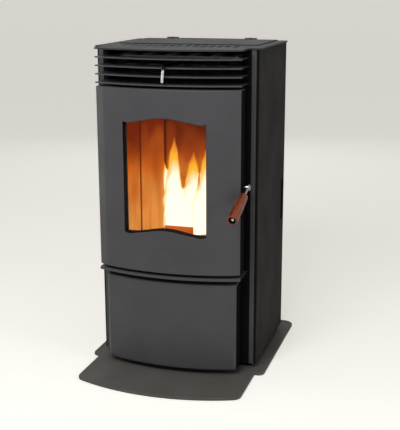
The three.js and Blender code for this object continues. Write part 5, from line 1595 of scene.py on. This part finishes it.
@dataclass
class WarmAirOutlet(SubAssembly):
    """The bowed louvres over the door, the sill and the ledge, and the scraper's rod."""

    half: float = 0.200
    reach: float = 0.110
    ledge_reach: float = 0.112
    back: float = -0.0003
    corner: float = 0.003
    lip: float = 0.002
    louvre_count: int = 3
    louvre_low: float = 0.81575
    louvre_pitch: float = 0.022
    louvre_thickness: float = 0.005
    fold: float = 0.0032
    sill: tuple[float, float] = (0.7955, 0.799)
    ledge: tuple[float, float] = (0.284, 0.2915)
    rod_radius: float = 0.0035
    rod_x: float = 0.008
    rod_rear: float = 0.1297
    rod_reach: float = 0.122
    rod_height: float = 0.848
    rod_drop: float = 0.042
    rod_lean: float = 0.004
    rod_bend: float = 0.008
    rod_bare: float = 0.010

    def build(self) -> None:
        """Builds and dresses the outlet's pieces."""
        louvre = self.shelf("louvre", self.reach, self.louvre_thickness - self.fold, self.louvre_thickness)
        step = (0, 0, self.louvre_pitch)
        row = {"Count": self.louvre_count, "Start": (0, 0, self.louvre_low), "Step": step}
        louvres = smooth(copies("louvres_folded", ROW, louvre, FINISHES[Slot.CHARCOAL], row))
        names = [f"grille_louvre_{i}" for i in range(1, self.louvre_count + 1)]
        self.deliver(louvres, Body.STOVE, Slot.CHARCOAL, *names)
        sill = self.shelf("sill_folded", self.reach, *self.sill)
        self.deliver(sill, Body.STOVE, Slot.CHARCOAL, "grille_sill")
        ledge = self.shelf("ledge_folded", self.ledge_reach, *self.ledge)
        self.deliver(ledge, Body.STOVE, Slot.CHARCOAL, "trim_ledge")
        # The shelves' outward ends get the near-black coat: painted shade.
        for shelf in (louvres, sill, ledge):
            self.leave_primer(shelf, Body.STOVE, self.half)
        # The rod is painted near black from just below its axis upwards: painted shade and dark reflection at
        # its bend.
        plating = PlatedSteel("scraper_rod_plating", "#e6e6e8", 0.2, self.rod_height - self.rod_bare)
        self.deliver(self.rod(), Body.SCRAPER, Slot.CHROME, "scraper_rod", finish=plating)
        # Near-black iron: soot, darkened further as painted shade inside the outlet.
        soot = SootedIron("blackened_exchanger", "#070606", "#0e0c0b")
        self.soften(Body.STOVE, Slot.STEEL, 0.0004, "heat_exchanger", finish=soot)
        self.soften(Body.SCRAPER, Slot.STEEL, 0.0004, "scraper_plate", finish=soot)

    def shelf(self, name: str, reach: float, low: float, high: float) -> MeshObject:
        """A bowed sheet shelf with its front and sides folded down.

        Args:
            name: The piece's name.
            reach: Reach of its middle.
            low: Lower edge of the fold.
            high: Its top face.

        Returns:
            The closed shelf.
        """
        plan = bowed_plan(self.half, reach, self.back, self.corner)
        shelf = skin(name, plan, lambda x: (low, high), capped=(False, True))
        return smooth(refine(shelf, wall(self.lip), bevel(0.0009, 3)))

    def rod(self) -> MeshObject:
        """The plated pull rod, bent down in front of the louvres, with a rounded tip.

        Returns:
            The closed rod.
        """
        corner = Vector((self.rod_x, -self.rod_reach, self.rod_height))
        tip = Vector((self.rod_x - self.rod_lean, -self.rod_reach, self.rod_height - self.rod_drop))
        down = (tip - corner).normalized()
        enter = corner + Vector((0, self.rod_bend, 0))
        leave = corner + down * self.rod_bend
        run = enter.y - self.rod_rear
        path = [Vector((self.rod_x, self.rod_rear + run * i / 8, self.rod_height)) for i in range(8)]
        for i in range(9):
            t = i / 8
            path.append(enter * (1 - t) ** 2 + corner * 2 * t * (1 - t) + leave * t**2)
        path += [leave + (tip - leave) * t for t in (0.3, 0.6, 0.9, 1.0)]
        side = X_AXIS - down * down.x
        rod = swept("scraper_pull", path, self.rod_radius, self.rod_radius, side.normalized(), sides=24)
        return smooth(refine(rod, bevel(0.0014, 3, RIM_ANGLE)))


# ---------------------------------------------------------------- door


@dataclass
class Door(SubAssembly):
    """The bowed door with its arched window, its frame and its seal."""

    half: float = 0.1985
    low: float = 0.2995
    high: float = 0.7885
    reach: float = 0.114
    back: float = -0.036
    sheet: float = 0.003
    fold_x: float = 0.174
    fold_reach: float = 0.006
    fold_drop: float = 0.0135
    fold_corner: float = 0.004
    edge: float = 0.0034
    window_half: float = 0.114
    window_low: float = 0.4045
    window_high: float = 0.7025
    window_rise: float = 0.012
    window_dip: float = 0.0035
    window_edge: float = 0.0011
    jamb_back: float = -0.0845
    reveal: float = 0.0008
    reveal_gap: float = 0.0001
    reveal_inset: float = 0.0022
    window_columns: int = 44
    rows: tuple[int, int, int] = (8, 14, 6)
    seal_half: float = 0.1705
    seal_low: float = 0.3215
    seal_high: float = 0.7665
    seal_corner: float = 0.012
    seal_step: float = 0.02
    seal_width: float = 0.014
    seal_y: float = -0.033
    seal_depth: float = 0.0026
    retainer_half: float = 0.117
    retainer_rows: tuple[float, ...] = (0.42, 0.556, 0.69)
    retainer_rear: float = -0.0779
    retainer_radius: float = 0.0035

    def arch(self, x: float) -> float:
        """Height of the window's arched edge above its corners at a given x."""
        share = min(abs(x) / self.window_half, 1.0)
        crown = self.window_rise * (0.5 + 0.5 * math.cos(math.pi * min(share / 0.84, 1)))
        return crown - self.window_dip * math.exp(-(((share - 0.86) / 0.11) ** 2))

    def levels(self, x: float) -> list[float]:
        """Heights of the door's rows at a given x."""
        low, high = self.window_low + self.arch(x), self.window_high + self.arch(x)
        stops = (self.low, low, high, self.high)
        heights = [self.low]
        for start, end, count in zip(stops, stops[1:], self.rows):
            heights += [start + (end - start) * (i + 1) / count for i in range(count)]
        return heights

    def is_open(self, x: float, row: int) -> bool:
        """Whether a cell of the door's face lies in the window."""
        return abs(x) < self.window_half and self.rows[0] <= row < self.rows[0] + self.rows[1]

    def plan(self) -> list[Point]:
        """The door's plan line: a bow, a soft fold near each side, and a short return.

        Returns:
            Points from the left side's back edge round to the right side's.
        """
        half, end = self.window_half, self.fold_x - self.fold_reach
        columns = [half * i * 2 / self.window_columns for i in range(self.window_columns // 2 + 1)]
        columns += [half + (end - half) * i / 8 for i in range(1, 9)]
        bow = [(x, -bow_depth(self.reach, x)) for x in columns]
        start = Vector((end, -bow_depth(self.reach, end)))
        bend = Vector((self.fold_x, -bow_depth(self.reach, self.fold_x)))
        corner = Vector((self.half, -bow_depth(self.reach, self.fold_x) + self.fold_drop))
        facet = (corner - bend).normalized()
        leave = bend + facet * self.fold_reach
        soft = [start.lerp(bend, t).lerp(bend.lerp(leave, t), t) for t in (0.25, 0.5, 0.75, 1.0)]
        enter = corner - facet * self.fold_corner
        side = corner + Vector((0, self.fold_corner))
        flat = [leave.lerp(enter, t) for t in (0.33, 0.67, 1.0)]
        turn = [enter.lerp(corner, t).lerp(corner.lerp(side, t), t) for t in (0.2, 0.4, 0.6, 0.8, 1.0)]
        ends = [(self.half, side.y + (self.back - side.y) * t) for t in (0.5, 1.0)]
        return mirrored([*bow, *((p.x, p.y) for p in (*soft, *flat, *turn)), *ends])

    def shell(self) -> MeshObject:
        """The pressed door skin with its window opening and reveal.

        Returns:
            The closed sheet shell.
        """
        door = skin("door_pressed", self.plan(), self.levels, self.is_open)
        refine(door, bevel(self.edge, 4, FOLD_ANGLE))
        with editing(door) as mesh:
            rim = [e for e in mesh.edges if e.is_boundary and all(v.co.y < self.jamb_back for v in e.verts)]
            grown = bmesh.ops.extrude_edge_only(mesh, edges=rim)
            for vertex in (g for g in grown["geom"] if isinstance(g, bmesh.types.BMVert)):
                vertex.co.y = self.jamb_back
        refine(door, wall(self.sheet))
        return smooth(refine(door, bevel(self.window_edge, 2, RIM_ANGLE)))

    def window_outline(self, grow: float, steps: int = 36) -> list[Point]:
        """The window's outline, grown evenly.

        Args:
            grow: Distance outside the real edge, or inside it if below 0.
            steps: Points along each arched edge.

        Returns:
            The outline in X and Z, anticlockwise.
        """
        half = self.window_half + grow
        stops = [-half + 2 * half * i / steps for i in range(steps + 1)]
        arches = [self.arch(x * self.window_half / half) for x in stops]
        low = [(x, self.window_low - grow + rise) for x, rise in zip(stops, arches)]
        high = [(x, self.window_high + grow + rise) for x, rise in zip(stops, arches)]
        return [*low, *reversed(high)]

    def reveal_liner(self) -> MeshObject:
        """The matt black liner inside the window's reveal.

        Returns:
            The closed liner.
        """
        loops = []
        for grow in (-self.reveal_gap, -self.reveal_gap - self.reveal):
            outline = self.window_outline(grow)
            front = [(x, -bow_depth(self.reach, x) + self.reveal_inset, z) for x, z in outline]
            loops += [front, [(x, self.jamb_back, z) for x, z in outline]]
        order = (loops[0], loops[1], loops[3], loops[2])
        points = [p for loop in order for p in loop]
        faces = tube_faces(len(order), len(order[0]), len(order))
        return smooth(weld(object_from("window_reveal", points, faces)))

    def seal(self) -> MeshObject:
        """The braided rope round the door's inner face.

        Returns:
            The closed rope.
        """
        half, corner = self.seal_half, self.seal_corner
        outline = rounded_rectangle(-half, half, self.seal_low, self.seal_high, corner, corner, 6)
        path: list[Vector] = []
        for (x0, z0), (x1, z1) in zip(outline, [*outline[1:], outline[0]]):
            count = max(1, round(math.hypot(x1 - x0, z1 - z0) / self.seal_step))
            for i in range(count):
                path.append(Vector((x0 + (x1 - x0) * i / count, self.seal_y, z0 + (z1 - z0) * i / count)))
        width, depth = self.seal_width / 2, self.seal_depth
        return swept("rope_braided", path, width, depth, Y_AXIS, closed=True, sides=16)

    def retainer_heads(self) -> MeshObject:
        """The screws that hold the glass retainer.

        Returns:
            All screws as one mesh.
        """
        r = self.retainer_radius
        profile = [(-0.0005, 0), (-0.0005, r), (0.001, r), (0.0018, 0.002), (0.0018, 0.0)]
        head = turned("retainer_head", profile, ORIGIN, Y_AXIS, 16)
        sides = (-self.retainer_half, self.retainer_half)
        places = [(x, self.retainer_rear, z) for z in self.retainer_rows for x in sides]
        marks = object_from("retainer_marks", places, [])
        return smooth(copies("retainer_screws", MARKS, head, FINISHES[Slot.STEEL], {"Marks": marks}))

    def build(self) -> None:
        """Builds and dresses the door's pieces."""
        shell = self.deliver(self.shell(), Body.DOOR, Slot.CHARCOAL, "door_shell")
        # The door's outward sides get the near-black coat: painted shade.
        self.leave_primer(shell, Body.DOOR, self.half)
        self.deliver(self.reveal_liner(), Body.DOOR, Slot.BLACK)
        self.deliver(self.seal(), Body.DOOR, Slot.ROPE, "rope_seal")
        self.deliver(self.retainer_heads(), Body.DOOR, Slot.STEEL)
        self.soften(Body.DOOR, Slot.BLACK, 0.0005, "door_frame")
        self.soften(Body.DOOR, Slot.STEEL, 0.0004, "glass_retainer")
        eyes = ("hinge_eye_lower", "hinge_eye_upper")
        self.soften(Body.DOOR, Slot.STEEL, 0.0004, *eyes, finish=FINISHES[Slot.MOTOR])
        self.soften(Body.DOOR, Slot.GLASS, 0.0006, "window_glass")


# ---------------------------------------------------------------- latch


@dataclass
class LatchLever(SubAssembly):
    """The plated lever with its turned wooden grip, and the cam on its shaft."""

    axis: tuple[float, float, float] = (0.1985, -0.048, 0.5335)
    angle: float = 18.0
    hub_offset: float = 0.005
    hub_length: float = 0.014
    hub_radius: float = 0.009
    shaft_radius: float = 0.005
    shaft_inside: float = -0.0155
    rod_radius: float = 0.004
    rod_stop: float = 0.0063
    rod_fit: float = 0.0003
    length: float = 0.164
    grip_length: float = 0.119
    grip_end: float = 0.0115
    grip_middle: float = 0.0135
    grip_nose: float = 0.0129
    grip_near_round: float = 0.0025
    grip_nose_round: float = 0.002
    grip_bore: float = 0.0094
    bore_depth: float = 0.007
    liner: float = 0.0003
    screw_radius: float = 0.0045
    recess: tuple[Point, ...] = ((0.0007, 0.0028), (0.0028, 0.0007))

    def hub_point(self) -> Vector:
        """Middle of the hub, where the rod leaves it."""
        return Vector(self.axis) + X_AXIS * (self.hub_offset + self.hub_length / 2)

    def along(self) -> Vector:
        """Direction of the lever from its hub."""
        fall = math.radians(self.angle)
        return Vector((0, -math.cos(fall), -math.sin(fall)))

    def lever(self) -> MeshObject:
        """Hub, shaft and rod as one plated body.

        Returns:
            The closed lever.
        """
        r, length = self.hub_radius, self.hub_length
        start = Vector(self.axis) + X_AXIS * self.hub_offset
        dome = [(0.0, 0.0), (0.0, r - 0.002), (0.0006, r - 0.0007), (0.002, r), (length - 0.0035, r)]
        dome += [(length - 0.0016, r - 0.0012), (length - 0.0005, r - 0.0035)]
        dome += [(length, r - 0.006), (length, 0.0)]
        hub = turned("lever_hub", dome, start, X_AXIS)
        inside = Vector(self.axis) + X_AXIS * self.shaft_inside
        shaft_length = self.hub_offset + 0.001 - self.shaft_inside
        shaft = turned("lever_shaft", self.bar(self.shaft_radius, shaft_length), inside, X_AXIS)
        rod_length = self.length - self.bore_depth - self.rod_stop
        rod = turned("lever_rod", self.bar(self.rod_radius, rod_length), self.hub_point(), self.along(), 32)
        for part in (shaft, rod):
            refine(hub, ("BOOLEAN", {"object": part, "operation": "UNION", "solver": "EXACT"}))
        discard(shaft, rod)
        hub.name = "latch_lever_plated"
        return smooth(hub)

    def bar(self, radius: float, length: float) -> list[Point]:
        """Profile of a plain round bar."""
        return [(0, 0), (0, radius), (length, radius), (length, 0)]

    def grip(self) -> MeshObject:
        """The barrel-shaped grip, bored for its rod and its screw.

        Returns:
            The closed grip.
        """
        start, end = self.length - self.grip_length, self.length
        bore = self.rod_radius + self.rod_fit
        near_round, far_round = self.grip_near_round, self.grip_nose_round
        quarter = [(1 - math.cos(a), math.sin(a)) for a in (0.0, 0.4, 0.8, 1.2, math.pi / 2)]
        near = [(start + near_round * d, self.grip_end - near_round + near_round * r) for d, r in quarter]
        far_side = self.grip_nose - far_round
        far = [(end - far_round * d, far_side + far_round * r) for d, r in reversed(quarter)]
        rise = self.grip_middle - (self.grip_end + self.grip_nose) / 2
        swell = []
        for i in range(1, 18):
            t = i / 18
            distance = near[-1][0] + (far[0][0] - near[-1][0]) * t
            straight = self.grip_end + (self.grip_nose - self.grip_end) * t
            swell.append((distance, straight + rise * math.sin(math.pi * t) ** 0.8))
        floor, wide = end - self.bore_depth, self.grip_bore
        inside = [(end - 0.0003, wide + 0.0006), (end - 0.001, wide), (floor, wide), (floor, bore)]
        profile = [(start, bore), *near, *swell, *far, *inside, (start, bore)]
        return turned("grip_turned", profile, self.hub_point(), self.along(), 64)

    def bore_lining(self) -> MeshObject:
        """A black cup in the bore at the grip's end: painted shade deep in the bore.

        Returns:
            The closed cup, open towards the end.
        """
        floor = self.length - self.bore_depth
        outer, bore = self.grip_bore - 0.0001, self.rod_radius + self.rod_fit
        inner, mouth = outer - self.liner, self.length - 0.0012
        profile = [(floor + 0.0001, bore), (floor + 0.0001, outer), (mouth, outer), (mouth, inner)]
        profile += [(floor + self.liner, inner), (floor + self.liner, bore), (floor + 0.0001, bore)]
        return turned("grip_bore_lining", profile, self.hub_point(), self.along(), 48)

    def screw(self) -> MeshObject:
        """The bright dome-head screw in the grip's end, with its cross recess.

        Returns:
            The closed screw head.
        """
        r = self.screw_radius
        seat = self.length - self.bore_depth + self.rod_fit
        profile = [(seat, 0), (seat, r), (seat + 0.0012, r), (seat + 0.0026, r * 0.8)]
        profile += [(seat + 0.0034, r * 0.45), (seat + 0.0037, 0)]
        head = turned("screw_dome", profile, self.hub_point(), self.along(), 32)
        turn = self.along().to_track_quat("Z", "Y").to_matrix().to_4x4()
        place = Matrix.Translation(self.hub_point() + self.along() * (seat + 0.0036))
        for wide, high in self.recess:
            corners = [(-wide, -high), (wide, -high), (wide, high), (-wide, high)]
            cutter = prism("recess_cutter", corners, -0.0014, 0.002)
            cutter.data.transform(place @ turn)
            cut_out(head, cutter)
        return smooth(head)

    def build(self) -> None:
        """Builds and dresses the latch's pieces."""
        self.deliver(self.lever(), Body.LATCH, Slot.CHROME, "latch_lever")
        self.deliver(self.grip(), Body.LATCH, Slot.WOOD, "latch_grip")
        self.deliver(self.bore_lining(), Body.LATCH, Slot.BLACK)
        plating = PlatedSteel("screw_plating", "#e4e4e2", 0.3)
        self.deliver(self.screw(), Body.LATCH, Slot.CHROME, "grip_screw", finish=plating)
        self.soften(Body.LATCH, Slot.STEEL, 0.0006, "latch_cam")


# ---------------------------------------------------------------- lower front


@dataclass
class LowerFront(SubAssembly):
    """The bowed front of the ash drawer, and the pan behind it."""

    half: float = 0.187
    reach: float = 0.095
    back: float = -0.027
    corner: float = 0.015
    low: float = 0.023
    high: float = 0.270
    edge: float = 0.0065
    sheet: float = 0.0025
    rows: int = 10

    def build(self) -> None:
        """Builds and dresses the drawer's pieces."""
        plan = bowed_plan(self.half, self.reach, self.back, self.corner)
        heights = [self.low + (self.high - self.low) * i / self.rows for i in range(self.rows + 1)]
        front = skin("drawer_front_pressed", plan, lambda x: heights)
        refine(front, bevel(self.edge, 6, FOLD_ANGLE))
        refine(front, wall(self.sheet))
        self.deliver(smooth(front), Body.DRAWER, Slot.CHARCOAL, "drawer_front")
        # The drawer front's outward sides get the near-black coat: painted shade.
        self.leave_primer(front, Body.DRAWER, self.half)
        dulled = SheetSteel("ash_dulled_sheet", "#4c4d4e", "#37383a", 0.6)
        self.soften(Body.DRAWER, Slot.STEEL, 0.0005, "ash_pan", finish=dulled)
        self.soften(Body.STOVE, Slot.STEEL, 0.0005, "drawer_runner_left", "drawer_runner_right")


# ---------------------------------------------------------------- firebox


@dataclass(frozen=True)
class Tongue:
    """One tongue of flame: its foot, its tip, its width and where it leans."""

    foot: tuple[float, float, float]
    tip: tuple[float, float, float]
    radius: float
    sway: float = 0.0

    def centre(self, t: float) -> Vector:
        """Centre of the tongue at a share of its height."""
        point = Vector(self.foot).lerp(Vector(self.tip), t)
        point.x += self.sway * math.sin(math.pi * t)
        return point

    def width(self, t: float) -> float:
        """Radius of the tongue at a share of its height."""
        return self.radius * (1 - t) ** 0.75 * (1 + 0.25 * math.sin(math.pi * min(t * 1.6, 1.0)))


@dataclass
class Firebox(SubAssembly):
    """The lit firebox: brick liners, burn pot, burning pellets and flames."""

    pot_half: float = 0.055
    pot_front: float = 0.027
    pot_rear: float = 0.113
    bed_level: float = 0.352
    bed_rise: float = 0.022
    pellet_radius: float = 0.003
    pellet_length: float = 0.013
    pellet_density: float = 26000.0
    voxel: float = 0.0022
    squeeze: float = 0.62
    front: tuple[float, float, float] = (0.3, -1.0, 0.0)
    rings: int = 34
    sides: int = 20
    thinnest: float = 0.004
    stir: float = 0.22
    stir_reach: float = 0.8
    tongues: tuple[Tongue, ...] = (
        Tongue((-0.024, 0.062, 0.356), (-0.026, 0.060, 0.650), 0.032, -0.004),
        Tongue((-0.034, 0.060, 0.372), (-0.058, 0.060, 0.582), 0.011, -0.002),
        Tongue((0.008, 0.068, 0.356), (0.029, 0.062, 0.612), 0.036, 0.004),
        Tongue((0.036, 0.058, 0.352), (0.067, 0.058, 0.628), 0.029, 0.008),
        Tongue((0.010, 0.075, 0.356), (0.008, 0.080, 0.520), 0.047, 0.0),
        Tongue((0.046, 0.050, 0.350), (0.052, 0.052, 0.470), 0.020, 0.004),
    )

    def lump(self, number: int, swell: float, reach: float) -> list[Vector]:
        """Points of one tongue's stirred tube, ring by ring.

        Args:
            number: The tongue's number.
            swell: Distance that the layer stands outside the tongue's own width.
            reach: Share of the tongue's height that it fills.

        Returns:
            The points.
        """
        tongue, points = self.tongues[number], []
        for i in range(self.rings):
            t = i / (self.rings - 1)
            centre = tongue.centre(t * reach)
            radius = max(tongue.width(t * reach) + swell, self.thinnest) * min(1.0, (1 - t) * 5 + 0.12)
            for angle in angles_round(self.sides):
                across, away = math.cos(angle), math.sin(angle)
                place = Vector((across * self.stir_reach, away * self.stir_reach, t * 7 + number * 5))
                r = radius * (1 + self.stir * noise.noise(place))
                points.append(centre + Vector((r * across, r * away * self.squeeze, 0)))
        return points

    def flame_layer(self, name: str, swell: float, reach: float, glow: float) -> MeshObject:
        """One closed layer of the fire.

        Args:
            name: The piece's name.
            swell: Distance that the layer stands outside the tongues' own width.
            reach: Share of each tongue's height that it fills.
            glow: How far up a tongue stays hot, from 0 to 1.

        Returns:
            The layer, with its "hotness" and "fullness" attributes.
        """
        last = (self.rings - 1) * self.sides
        sides = tube_faces(self.rings - 1, self.sides, self.rings)
        caps = [tuple(reversed(range(self.sides))), tuple(range(last, last + self.sides))]
        points, faces = [], []
        for number in range(len(self.tongues)):
            base = len(points)
            points += self.lump(number, swell, reach)
            faces += [tuple(base + i for i in face) for face in (*sides, *caps)]
        flame = object_from(name, points, faces)
        remesh = ("REMESH", {"mode": "VOXEL", "voxel_size": self.voxel})
        refine(flame, remesh, ("SMOOTH", {"iterations": 4, "factor": 0.5}))
        flame.data.shade_smooth()
        values = {
            "hotness": [self.heat(v.co, reach, glow) for v in flame.data.vertices],
            "fullness": [abs(v.normal.dot(Vector(self.front).normalized())) for v in flame.data.vertices],
        }
        for label, numbers in values.items():
            layer = flame.data.attributes.new(label, "FLOAT", "POINT")
            layer.data.foreach_set("value", numbers)
        return flame

    def heat(self, point: Vector, reach: float, glow: float) -> float:
        """How hot a layer is at a point.

        Args:
            point: The point.
            reach: Share of each tongue's height that the layer fills.
            glow: How far up a tongue stays hot.

        Returns:
            1 in the layer's body, falling to 0 at its tips.
        """
        best = 0.0
        for tongue in self.tongues:
            low = tongue.foot[2]
            t = (point.z - low) / ((tongue.tip[2] - low) * reach)
            if t < 0:
                return 1.0
            share = min(t * reach, 1)
            near = 1 - (abs(point.x - tongue.centre(share).x) / (tongue.width(share) + 0.014)) ** 4
            if t <= 1 and near > 0:
                best = max(best, min(1.0, (1 - t) / (1 - glow)) * min(1.0, near * 2))
        return best

    def bed(self) -> MeshObject:
        """The surface of the heap of pellets in the pot.

        Returns:
            A domed grid.
        """
        steps, margin = 14, 0.006
        middle, half_depth = (self.pot_front + self.pot_rear) / 2, (self.pot_rear - self.pot_front) / 2
        points, faces = [], []
        for j in range(steps + 1):
            for i in range(steps + 1):
                u, v = i / steps * 2 - 1, j / steps * 2 - 1
                x, y = u * (self.pot_half - margin), middle + v * (half_depth - margin)
                points.append((x, y, self.bed_level + self.bed_rise * (1 - u * u) * (1 - v * v)))
        for j in range(steps):
            for i in range(steps):
                low = j * (steps + 1) + i
                faces.append((low, low + 1, low + steps + 2, low + steps + 1))
        return object_from("pellet_bed", points, faces)

    def pellets(self) -> MeshObject:
        """Burning pellets tumbled in the pot.

        Returns:
            All pellets as one mesh.
        """
        r, half, chamfer = self.pellet_radius, self.pellet_length / 2, 0.0006
        profile = [(-half, 0), (-half, r * 0.8), (-half + chamfer, r)]
        profile += [(half - chamfer, r), (half, r * 0.8), (half, 0)]
        pellet = turned("pellet", profile, ORIGIN, X_AXIS, 8)
        heap = {"Bed": self.bed(), "Density": self.pellet_density, "Seed": 7}
        return smooth(copies("pellets_burning", HEAP, pellet, FINISHES[Slot.WOOD], heap))

    def build(self) -> None:
        """Builds and dresses the firebox's pieces."""
        # The liners carry painted firelight from the flames.
        self.soften(Body.STOVE, Slot.BRICK, 0.0012, "liner_left", "liner_right")
        shaded = FirebrickWithPaintedFirelight("shaded_firebrick", "#4c2410", BACK_PAINTED_FIRELIGHT, ("X", -0.102, 0.008))
        self.soften(Body.STOVE, Slot.BRICK, 0.0012, "liner_back", finish=shaded)
        self.soften(Body.STOVE, Slot.BLACK, 0.001, "firebox_mouth")
        # The baffle's glow is painted firelight.
        baffle = SootedIron("baffle_cast_iron", glow=IRON_PAINTED_FIRELIGHT)
        self.soften(Body.STOVE, Slot.IRON, 0.001, "baffle_plate", finish=baffle)
        # The pot's glow: its own heat, with painted firelight on it.
        pot_heat_and_firelight = GlowAndPaintedFirelight("#8c300c", "#d0500f", "#e0702a", 0.33, 0.40, 0.9)
        pot = SootedIron("burn_pot_cast_iron", glow=pot_heat_and_firelight)
        self.soften(Body.STOVE, Slot.IRON, 0.0008, "burn_pot", finish=pot)
        ember_glow = GlowAndPaintedFirelight("#ff7a1c", "#ffb347", "#ffe08a", 0.35, 0.39, 1.4)
        embers = SootedIron("burning_pellets", "#3a1c10", "#7a3a1c", ember_glow)
        self.deliver(self.pellets(), Body.STOVE, Slot.WOOD, finish=embers)
        core = FlameLight("flame_core_light", "#fffdf6", "#fff0b0", "#ffd040", 1.9, 1.0, 0.1, 0.5)
        veil = FlameLight("flame_veil_light", "#fffaf0", "#e6b234", "#d2701c", 1.6, 0.95, 0.28, 0.97)
        layers = (("flame_core", -0.0030, 0.60, 0.60, core), ("flame_veil", 0.0040, 1.0, 0.52, veil))
        for name, swell, reach, glow, light in layers:
            self.deliver(self.flame_layer(name, swell, reach, glow), Body.STOVE, Slot.BRICK, finish=light)


# ---------------------------------------------------------------- studio


@dataclass(frozen=True)
class Lamp:
    """A soft box: its place, its width and height, its power in watts and what it faces."""

    name: str
    place: tuple[float, float, float]
    size: tuple[float, float]
    power: float
    target: tuple[float, float, float]


@dataclass
class Studio:
    """The floor, the soft lights and the camera at the photographed angle."""

    eye: tuple[float, float, float] = (0.775062, -2.294046, 1.04858)
    yaw: float = -0.300
    pitch: float = 0.249
    roll: float = -0.003
    sensor: float = 36.0
    lens: float = 76.27
    floor_reach: float = 60.0
    floor_drop: float = 0.0005
    floor_colour: str = "#efece6"
    floor_lift: float = 0.55
    world_light: float = 0.20
    lamps: tuple[Lamp, ...] = (
        Lamp("front_softbox", (-0.10, -1.65, 1.90), (1.2, 0.8), 28.0, (0.0, 0.0, 0.85)),
        Lamp("right_strip", (2.20, -0.80, 0.95), (0.5, 1.2), 10.0, (0.17, -0.08, 0.70)),
        Lamp("left_strip", (-2.30, -0.35, 0.60), (0.6, 1.2), 7.0, (-0.17, -0.05, 0.55)),
        Lamp("rear_softbox", (-0.90, 3.40, 1.60), (2.4, 1.6), 8.0, (0.0, 0.2, 0.50)),
    )

    def build(self) -> None:
        """Builds the studio."""
        reach = self.floor_reach
        corners = [(-reach, -reach, 0), (reach, -reach, 0), (reach, reach, 0), (-reach, reach, 0)]
        floor = object_from("studio_floor", corners, [(0, 1, 2, 3)])
        surface = StudioFloor("pale_floor", self.floor_colour, self.floor_lift)
        floor.data.materials.append(material_of(surface))
        floor.location.z = -self.floor_drop
        self.light_world()
        for lamp in self.lamps:
            self.add_lamp(lamp)
        self.add_camera()

    def light_world(self) -> None:
        """Makes a plain soft surround that shows pale to the camera and to metal."""
        world = bpy.data.worlds.new("studio")
        bpy.context.scene.world = world
        world.use_nodes = True
        tree = world.node_tree
        tree.nodes.clear()
        skies = []
        for colour, strength in (("#fbfaf8", self.world_light), ("#f3f1ed", 1.0)):
            inputs = {"Color": linear(colour), "Strength": strength}
            skies.append(add_node(tree, "ShaderNodeBackground", inputs).outputs[0])
        shares = {0: seen_directly(tree), 1: skies[0], 2: skies[1]}
        both = add_node(tree, "ShaderNodeMixShader", shares)
        add_node(tree, "ShaderNodeOutputWorld", {"Surface": both.outputs[0]})

    def add_lamp(self, lamp: Lamp) -> None:
        """Adds a rectangular soft light that faces the stove.

        Args:
            lamp: The lamp to add.
        """
        data = bpy.data.lights.new(lamp.name, "AREA")
        data.shape = "RECTANGLE"
        data.size, data.size_y = lamp.size
        data.energy = lamp.power
        light = bpy.data.objects.new(lamp.name, data)
        light.location = lamp.place
        facing = Vector(lamp.target) - Vector(lamp.place)
        light.rotation_euler = facing.to_track_quat("-Z", "Y").to_euler()
        bpy.context.scene.collection.objects.link(light)

    def add_camera(self) -> None:
        """Sets the camera at the photograph's viewing angle."""
        level = math.cos(self.pitch)
        ahead = Vector((math.sin(self.yaw) * level, math.cos(self.yaw) * level, -math.sin(self.pitch)))
        data = bpy.data.cameras.new("camera")
        data.sensor_fit = "VERTICAL"
        data.sensor_height = self.sensor
        data.lens = self.lens
        data.clip_end = 200.0
        camera = bpy.data.objects.new("camera", data)
        turn = ahead.to_track_quat("-Z", "Y").to_matrix() @ Euler((0, 0, self.roll)).to_matrix()
        camera.location = Vector(self.eye)
        camera.rotation_euler = turn.to_euler()
        bpy.context.scene.collection.objects.link(camera)
        bpy.context.scene.camera = camera


# ---------------------------------------------------------------- whole object


def dress_nodes(frame: dict[str, Any]) -> None:
    """Gives every CAD node its slot's finish.

    Args:
        frame: The loaded frame.
    """
    for part in frame["record"]["subparts"]:
        material = material_of(FINISHES[Slot(part["material_slot"])])
        mesh = frame["nodes"][part["node"]].data
        mesh.materials.clear()
        mesh.materials.append(material)


def main() -> None:
    """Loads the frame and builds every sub-assembly."""
    logging.basicConfig(level=logging.INFO, format="%(name)s: %(message)s")
    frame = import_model()
    bpy.context.scene.view_settings.view_transform = "Standard"
    dress_nodes(frame)
    for group in (HearthBase, Cabinet, WarmAirOutlet, Door, LatchLever, LowerFront, Firebox):
        log.info("building %s", group.__name__)
        group(frame).build()
    Studio().build()


if __name__ == "__main__":
    main()
